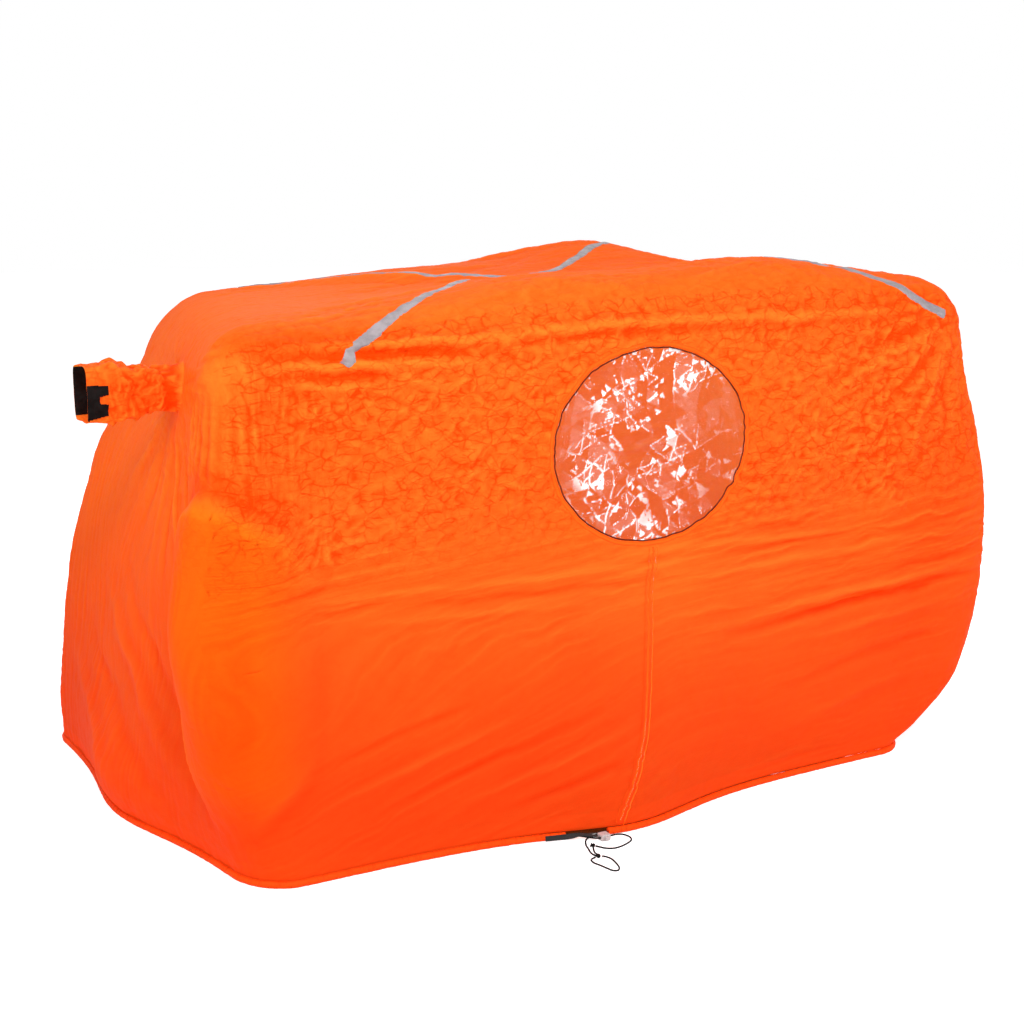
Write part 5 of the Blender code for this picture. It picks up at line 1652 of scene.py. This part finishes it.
TAPE_WIDTH = 0.022
TAPES = {
    "reflective_tape_lower": (
        (-0.537, -0.50, 0.872), (-0.485, -0.48, 0.915), (-0.415, -0.42, 0.95),
        (-0.020, -0.10, 0.98), (0.420, 0.26, 1.02), (0.600, 0.40, 0.95),
    ),
    "reflective_tape_upper": (
        (0.709, -0.50, 0.874), (0.640, -0.48, 0.925), (0.560, -0.42, 0.97),
        (0.050, -0.04, 0.98), (-0.420, 0.33, 0.95),
    ),
}


class BOTHY_OT_tapes(bpy.types.Operator):
    """Lay the two reflective tapes over the roof"""

    bl_idname = "bothy.tapes"
    bl_label = "Reflective tapes"

    def execute(self, context):
        looks = context.scene.bothy_cloth
        silver = made("reflective_silver", reflective, tuple(looks.tape))
        for order, (node, corners) in enumerate(TAPES.items()):
            route = smooth_route(corners, 0.0055)
            tape = lay_band(
                node + "_sewn", route, TAPE_WIDTH, 0.0010 + 0.0009 * order, rows=8, tuck=0.0003,
                pucker=0.0008, straighten=60,
            )
            finish_piece(tape, node + "_sewn", silver, "shelter")
            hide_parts(node)
        return {"FINISHED"}


SEAM_ROUTE = (
    (-0.062, -0.53, 0.020), (0.004, -0.51, 0.16), (0.030, -0.49, 0.30), (0.043, -0.475, 0.492),
)
STITCH_LENGTH, STITCH_PITCH = 0.0028, 0.0040


class BOTHY_OT_seams(bpy.types.Operator):
    """Sew the front seam below the window, with its tape behind"""

    bl_idname = "bothy.seams"
    bl_label = "Seams"

    def execute(self, context):
        looks = context.scene.bothy_cloth
        route = smooth_route(SEAM_ROUTE, 0.005)
        sewn = made("orange_seam", stitched_cloth, (0.96, 0.100, 0.006), (0.94, 0.090, 0.006), 0.006, 0.0016)
        fold = lay_band("front_seam_fold", route, 0.006, 0.0005, rows=4, pucker=0.0003)
        finish_piece(fold, "front_seam_fold", sewn, "shelter")
        taped = made("orange_tape", stitched_cloth, tuple(looks.binding), tuple(looks.thread), 0.018)
        inner = lay_band("front_seam_inner_tape", route, 0.018, -0.0020, rows=6, tuck=-0.0012)
        finish_piece(inner, "front_seam_inner_tape", taped, "shelter")
        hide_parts("front_seam_tape")
        self.stitches(looks, route[(route[:, 2] > 0.022) & (route[:, 2] < 0.20)])
        return {"FINISHED"}

    def stitches(self, looks, route):
        """Pale stitches along the foot of the front seam, each a short thread with rounded ends."""
        places = smooth_route(route[:: max(1, len(route) // 12)], STITCH_PITCH)
        ahead = np.gradient(places, axis=0)
        ahead /= np.linalg.norm(ahead, axis=1, keepdims=True)
        deselect()
        bpy.ops.mesh.primitive_uv_sphere_add(segments=8, ring_count=6, radius=1)
        thread = bpy.context.object
        start = coords(thread.data)
        copies = [thread]
        for place, direction in zip(places, ahead):
            foot, normal = on_cloth(place)
            side = np.cross(normal, direction)
            side /= np.linalg.norm(side)
            along = np.cross(side, normal)
            copy = thread.copy()
            copy.data = thread.data.copy()
            bpy.context.scene.collection.objects.link(copy)
            scaled = start * np.array([0.00032, STITCH_LENGTH / 2, 0.00032])
            turned = scaled[:, :1] * side + scaled[:, 1:2] * along + scaled[:, 2:] * normal
            set_coords(copy.data, foot + normal * 0.0010 + turned)
            copies.append(copy)
        deselect()
        bpy.data.objects.remove(thread)
        for copy in copies[1:]:
            copy.select_set(True)
        bpy.context.view_layer.objects.active = copies[1]
        bpy.ops.object.join()
        pale = made("pale_thread", woven_black, tuple(looks.thread))
        finish_piece(bpy.context.object, "front_seam_stitches", pale, "shelter")


SEAT_HINGE_Y, SEAT_DEPTH, SEAT_CORNER = 0.4453, 0.270, 0.030
MARGIN_EDGE_Y = 0.4475
SEAT_SPANS = {"front": (-1, -0.57, 0.53), "back": (1, -0.64, 0.50)}


class BOTHY_OT_seats(bpy.types.Operator):
    """Lay the two black seat panels inside the hem, with their sewn margins"""

    bl_idname = "bothy.seats"
    bl_label = "Seats"

    def execute(self, context):
        looks = context.scene.bothy_cloth
        cloth = made("black_seat_cloth", coated_cloth, tuple(looks.black))
        hem = hem_route(0.004)
        for name, (side, start, end) in SEAT_SPANS.items():
            columns, rows = 150, 36
            i = np.linspace(0, 1, columns + 1)[:, None]
            depth = (np.linspace(0, 1, rows + 1) * SEAT_DEPTH)[None]
            past = np.maximum(0, depth - (SEAT_DEPTH - SEAT_CORNER))
            inset = SEAT_CORNER - np.sqrt(np.maximum(0, SEAT_CORNER**2 - past**2))
            x = (start + inset) + i * (end - start - 2 * inset)
            y = np.broadcast_to(side * (SEAT_HINGE_Y - depth), x.shape)
            seat = self.lay(f"{name}_seat_cloth", x, y)
            finish_piece(seat, f"{name}_seat_cloth", cloth, f"{name}_seat_panel")
            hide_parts(f"{name}_seat")
            line = hem[hem[:, 1] * side > 0.3]
            line = line[np.argsort(line[:, 0])]
            xs = np.linspace(start, end, columns + 1)
            outer = np.interp(xs, line[:, 0], line[:, 1]) - side * (HEM_HALF_WIDTH - 0.0005)
            share = np.linspace(0, 1, 9)[None]
            y = side * MARGIN_EDGE_Y + (outer - side * MARGIN_EDGE_Y)[:, None] * share
            margin = self.lay(f"{name}_margin_cloth", np.broadcast_to(xs[:, None], y.shape), y)
            finish_piece(margin, f"{name}_margin_cloth", cloth, "shelter")
            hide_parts(f"{name}_seat_margin")
        return {"FINISHED"}

    def lay(self, name, x, y):
        flat = np.stack([x, y, np.zeros_like(x)], -1)
        rise = np.array([noise.fractal(Vector(p) * 17, 1.0, 2.0, 3) for p in flat.reshape(-1, 3)])
        flat[..., 2] = 0.0014 + 0.0012 * np.clip(rise.reshape(x.shape) + 0.4, 0, 1.3)
        obj = surface(name, flat, (0.0, 0.0, 1.0))
        wall = obj.modifiers.new("thickness", "SOLIDIFY")
        wall.thickness = 0.0006
        wall.offset = 0.0
        apply_all(obj)
        return obj


CORD = 0.003
LOOP_ROUTE = (
    (-0.1597, -0.5185, 0.0050), (-0.150, -0.5210, 0.0053), (-0.140, -0.5290, 0.0058),
    (-0.130, -0.5410, 0.0061), (-0.121, -0.5515, 0.0062), (-0.113, -0.5555, 0.0062),
    (-0.103, -0.5555, 0.0062), (-0.090, -0.5555, 0.0062), (-0.077, -0.5556, 0.0059),
    (-0.0665, -0.5594, 0.0046), (-0.0605, -0.5690, 0.0028), (-0.0640, -0.5800, 0.0019),
    (-0.076, -0.5880, 0.0018), (-0.094, -0.5945, 0.0018), (-0.110, -0.5955, 0.0018),
    (-0.122, -0.5885, 0.0018), (-0.1290, -0.5785, 0.0020), (-0.1330, -0.5733, 0.0026),
)
RETURN_ROUTE = (
    (-0.0855, -0.5345, 0.0050), (-0.097, -0.5345, 0.0042), (-0.110, -0.5330, 0.0028),
    (-0.123, -0.5350, 0.0019), (-0.133, -0.5420, 0.0018), (-0.140, -0.5520, 0.0018),
    (-0.1455, -0.5630, 0.0018), (-0.149, -0.5750, 0.0018), (-0.1535, -0.5880, 0.0018),
    (-0.1555, -0.5990, 0.0020), (-0.1548, -0.6078, 0.0024),
)
LINK_ROUTE = (
    (-0.1393, -0.5756, 0.0026), (-0.1430, -0.5830, 0.0018), (-0.1475, -0.5930, 0.0018),
    (-0.1490, -0.6010, 0.0020), (-0.1495, -0.6080, 0.0024),
)
PULL_ROUTE = (
    (-0.1462, -0.6150, 0.0024), (-0.1405, -0.6195, 0.0018), (-0.1375, -0.6320, 0.0018),
    (-0.1400, -0.6500, 0.0018), (-0.1450, -0.6670, 0.0018), (-0.1530, -0.6760, 0.0018),
    (-0.1610, -0.6720, 0.0018), (-0.1645, -0.6600, 0.0018), (-0.1680, -0.6450, 0.0018),
    (-0.1720, -0.6310, 0.0018), (-0.1705, -0.6195, 0.0018), (-0.1650, -0.6150, 0.0020),
    (-0.1588, -0.6138, 0.0024),
)
KNOTS = {"upper": (-0.1375, -0.5700, 0.0036), "lower": (-0.1525, -0.6135, 0.0036)}
TAB_ROUTE = (
    (-0.198, 0.0, 0.0066, 0.0), (-0.180, 0.0, 0.0066, 0.0), (-0.163, 0.0, 0.0066, 0.0),
    (-0.152, -0.5290, 0.0084, 0.45), (-0.140, -0.5330, 0.0098, 0.9), (-0.127, -0.5450, 0.0100, 1.0),
    (-0.1165, -0.5530, 0.0100, 1.0),
)
TAB_WIDTH = 0.0095


class BOTHY_OT_cords(bpy.types.Operator):
    """Lay the drawcord's free stretches and tie its two knots"""

    bl_idname = "bothy.cords"
    bl_label = "Cords"

    def execute(self, context):
        looks = context.scene.bothy_cloth
        cord = made("black_braid", braided, tuple(looks.black))
        knots = {name: self.knot(name, centre, cord) for name, centre in KNOTS.items()}
        lock = [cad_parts[n] for n in ("cord_lock_body", "cord_lock_plunger")]
        for name, route, pieces in (
            ("loop", LOOP_ROUTE, [knots["upper"], *lock]),
            ("return", RETURN_ROUTE, [knots["lower"]]),
            ("link", LINK_ROUTE, []),
            ("pull_loop", PULL_ROUTE, []),
        ):
            path = smooth_route(route, 0.0012)
            tube = tube_along(f"cord_{name}", path, CORD / 2, 14)
            finish_piece(tube, f"cord_{name}", cord, "shelter")
            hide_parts(f"drawcord_{name}")
        return {"FINISHED"}

    def knot(self, name, centre, cord):
        """An overhand knot drawn tight: a cord wound through itself in three turns."""
        t = np.linspace(0, 2 * math.pi, 90)
        size = 0.00118
        lay = 0.7 if name == "upper" else 2.1
        x = size * (np.sin(t) + 2 * np.sin(2 * t))
        y = size * (np.cos(t) - 2 * np.cos(2 * t))
        path = np.stack([
            centre[0] + x * math.cos(lay) - y * math.sin(lay),
            centre[1] + x * math.sin(lay) + y * math.cos(lay),
            centre[2] - 0.0017 * np.sin(3 * t),
        ], 1)
        knot = tube_along(f"cord_knot_{name}", path, 0.00145, 12)
        finish_piece(knot, f"cord_knot_{name}", cord, "shelter")
        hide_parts(f"drawcord_knot_{name}")
        return knot


SPRING_WIRE, SPRING_TURNS, LOCK_PRESS = 0.0003, 5, 0.003


class BOTHY_OT_lock(bpy.types.Operator):
    """Finish the cord lock's body, plunger and spring"""

    bl_idname = "bothy.lock"
    bl_label = "Cord lock"

    def execute(self, context):
        looks = context.scene.bothy_cloth
        plastic = made("frosted_plastic", frosted_plastic, tuple(looks.plastic))
        steel = made("drawn_spring_wire", drawn_wire, (0.55, 0.55, 0.56))
        for node in ("cord_lock_body", "cord_lock_plunger"):
            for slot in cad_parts[node].material_slots:
                slot.material = plastic
        low, high = (np.array(corner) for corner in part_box("cord_lock_spring"))
        middle = (low + high) / 2
        coil_radius = (high[0] - low[0]) / 2 - SPRING_WIRE
        turn = np.linspace(0, 2 * math.pi * SPRING_TURNS, 24 * SPRING_TURNS + 1)
        path = np.stack([
            middle[0] + coil_radius * np.cos(turn),
            np.linspace(low[1] + SPRING_WIRE, high[1] - SPRING_WIRE, len(turn)),
            middle[2] + coil_radius * np.sin(turn),
        ], 1)
        coil = tube_along("lock_spring_coil", path, SPRING_WIRE, 8)
        finish_piece(coil, "lock_spring_coil", steel, "cord_lock")
        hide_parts("cord_lock_spring")
        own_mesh(coil)
        return {"FINISHED"}


class BOTHY_OT_stage(bpy.types.Operator):
    """Set the camera, the pale floor and the soft light"""

    bl_idname = "bothy.stage"
    bl_label = "Camera, floor and light"

    def execute(self, context):
        scene = context.scene
        camera = bpy.data.objects.new("camera", bpy.data.cameras.new("camera"))
        scene.collection.objects.link(camera)
        camera.location = (-1.596, -2.896, 1.178)
        camera.rotation_euler = (math.radians(77.9), 0.0, math.radians(-29.2))
        camera.data.lens = 59.77
        scene.camera = camera
        scene.view_settings.view_transform = "Standard"

        deselect()
        bpy.ops.mesh.primitive_circle_add(vertices=96, radius=14, fill_type="NGON")
        floor = context.object
        floor.name = "floor"
        material, tree, shader = new_material("pale_floor", (0.88, 0.88, 0.88), 0.9)
        path = add(tree, "ShaderNodeLightPath")
        lift = math_node(tree, "MULTIPLY", path.outputs["Is Camera Ray"], 0.73)
        glow = add(tree, "ShaderNodeEmission", {"Color": (1, 1, 1, 1), "Strength": lift})
        both = add(tree, "ShaderNodeAddShader")
        tree.links.new(shader.outputs[0], both.inputs[0])
        tree.links.new(glow.outputs[0], both.inputs[1])
        tree.links.new(both.outputs[0], tree.nodes["Material Output"].inputs["Surface"])
        floor.data.materials.append(material)

        world = bpy.data.worlds.new("studio")
        scene.world = world
        world.use_nodes = True
        tree = world.node_tree
        path = add(tree, "ShaderNodeLightPath")
        direct = math_node(
            tree, "MAXIMUM", path.outputs["Is Camera Ray"], path.outputs["Is Transmission Ray"]
        )
        direct = math_node(tree, "MAXIMUM", direct, path.outputs["Is Glossy Ray"])
        strength = math_node(tree, "MULTIPLY_ADD", direct, 0.68, 0.32)
        tree.nodes["Background"].inputs["Color"].default_value = (1, 1, 1, 1)
        tree.links.new(strength, tree.nodes["Background"].inputs["Strength"])

        for name, place, aim, power, size in (
            ("key", (-1.1, -2.8, 2.9), (0.0, -0.2, 0.5), 92.0, 0.7),
            ("fill", (2.3, -2.8, 1.2), (0.1, -0.4, 0.5), 42.0, 1.2),
            ("side", (-3.2, -1.0, 1.6), (-0.6, -0.1, 0.5), 42.0, 1.8),
            ("top", (0.4, 0.5, 3.4), (0.0, 0.0, 0.9), 22.0, 1.6),
            ("rear", (1.2, 3.4, 1.0), (0.1, 0.4, 0.4), 13.0, 1.6),
        ):
            light = bpy.data.objects.new(name, bpy.data.lights.new(name, "AREA"))
            scene.collection.objects.link(light)
            light.data.energy = power
            light.data.size = size
            light.location = place
            light.rotation_euler = (Vector(aim) - Vector(place)).to_track_quat("-Z", "Y").to_euler()
        return {"FINISHED"}


STEPS = ("stage", "cords", "lock", "walls", "window", "hem", "vent", "tapes", "seams", "seats")
CLASSES = (
    ClothLooks, BOTHY_OT_stage, BOTHY_OT_cords, BOTHY_OT_lock, BOTHY_OT_walls, BOTHY_OT_window,
    BOTHY_OT_hem, BOTHY_OT_vent, BOTHY_OT_tapes, BOTHY_OT_seams, BOTHY_OT_seats,
)


class BOTHY_PT_panel(bpy.types.Panel):
    bl_label = "Bothy bag"
    bl_idname = "BOTHY_PT_panel"
    bl_space_type = "VIEW_3D"
    bl_region_type = "UI"
    bl_category = "Bothy bag"

    def draw(self, context):
        for step_name in STEPS:
            self.layout.operator(f"bothy.{step_name}")


def register():
    for kind in (*CLASSES, BOTHY_PT_panel):
        bpy.utils.register_class(kind)
    bpy.types.Scene.bothy_cloth = bpy.props.PointerProperty(type=ClothLooks)


def unregister():
    del bpy.types.Scene.bothy_cloth
    for kind in reversed((*CLASSES, BOTHY_PT_panel)):
        bpy.utils.unregister_class(kind)


def main():
    register()
    for step_name in STEPS:
        getattr(bpy.ops.bothy, step_name)()


if __name__ == "__main__":
    main()
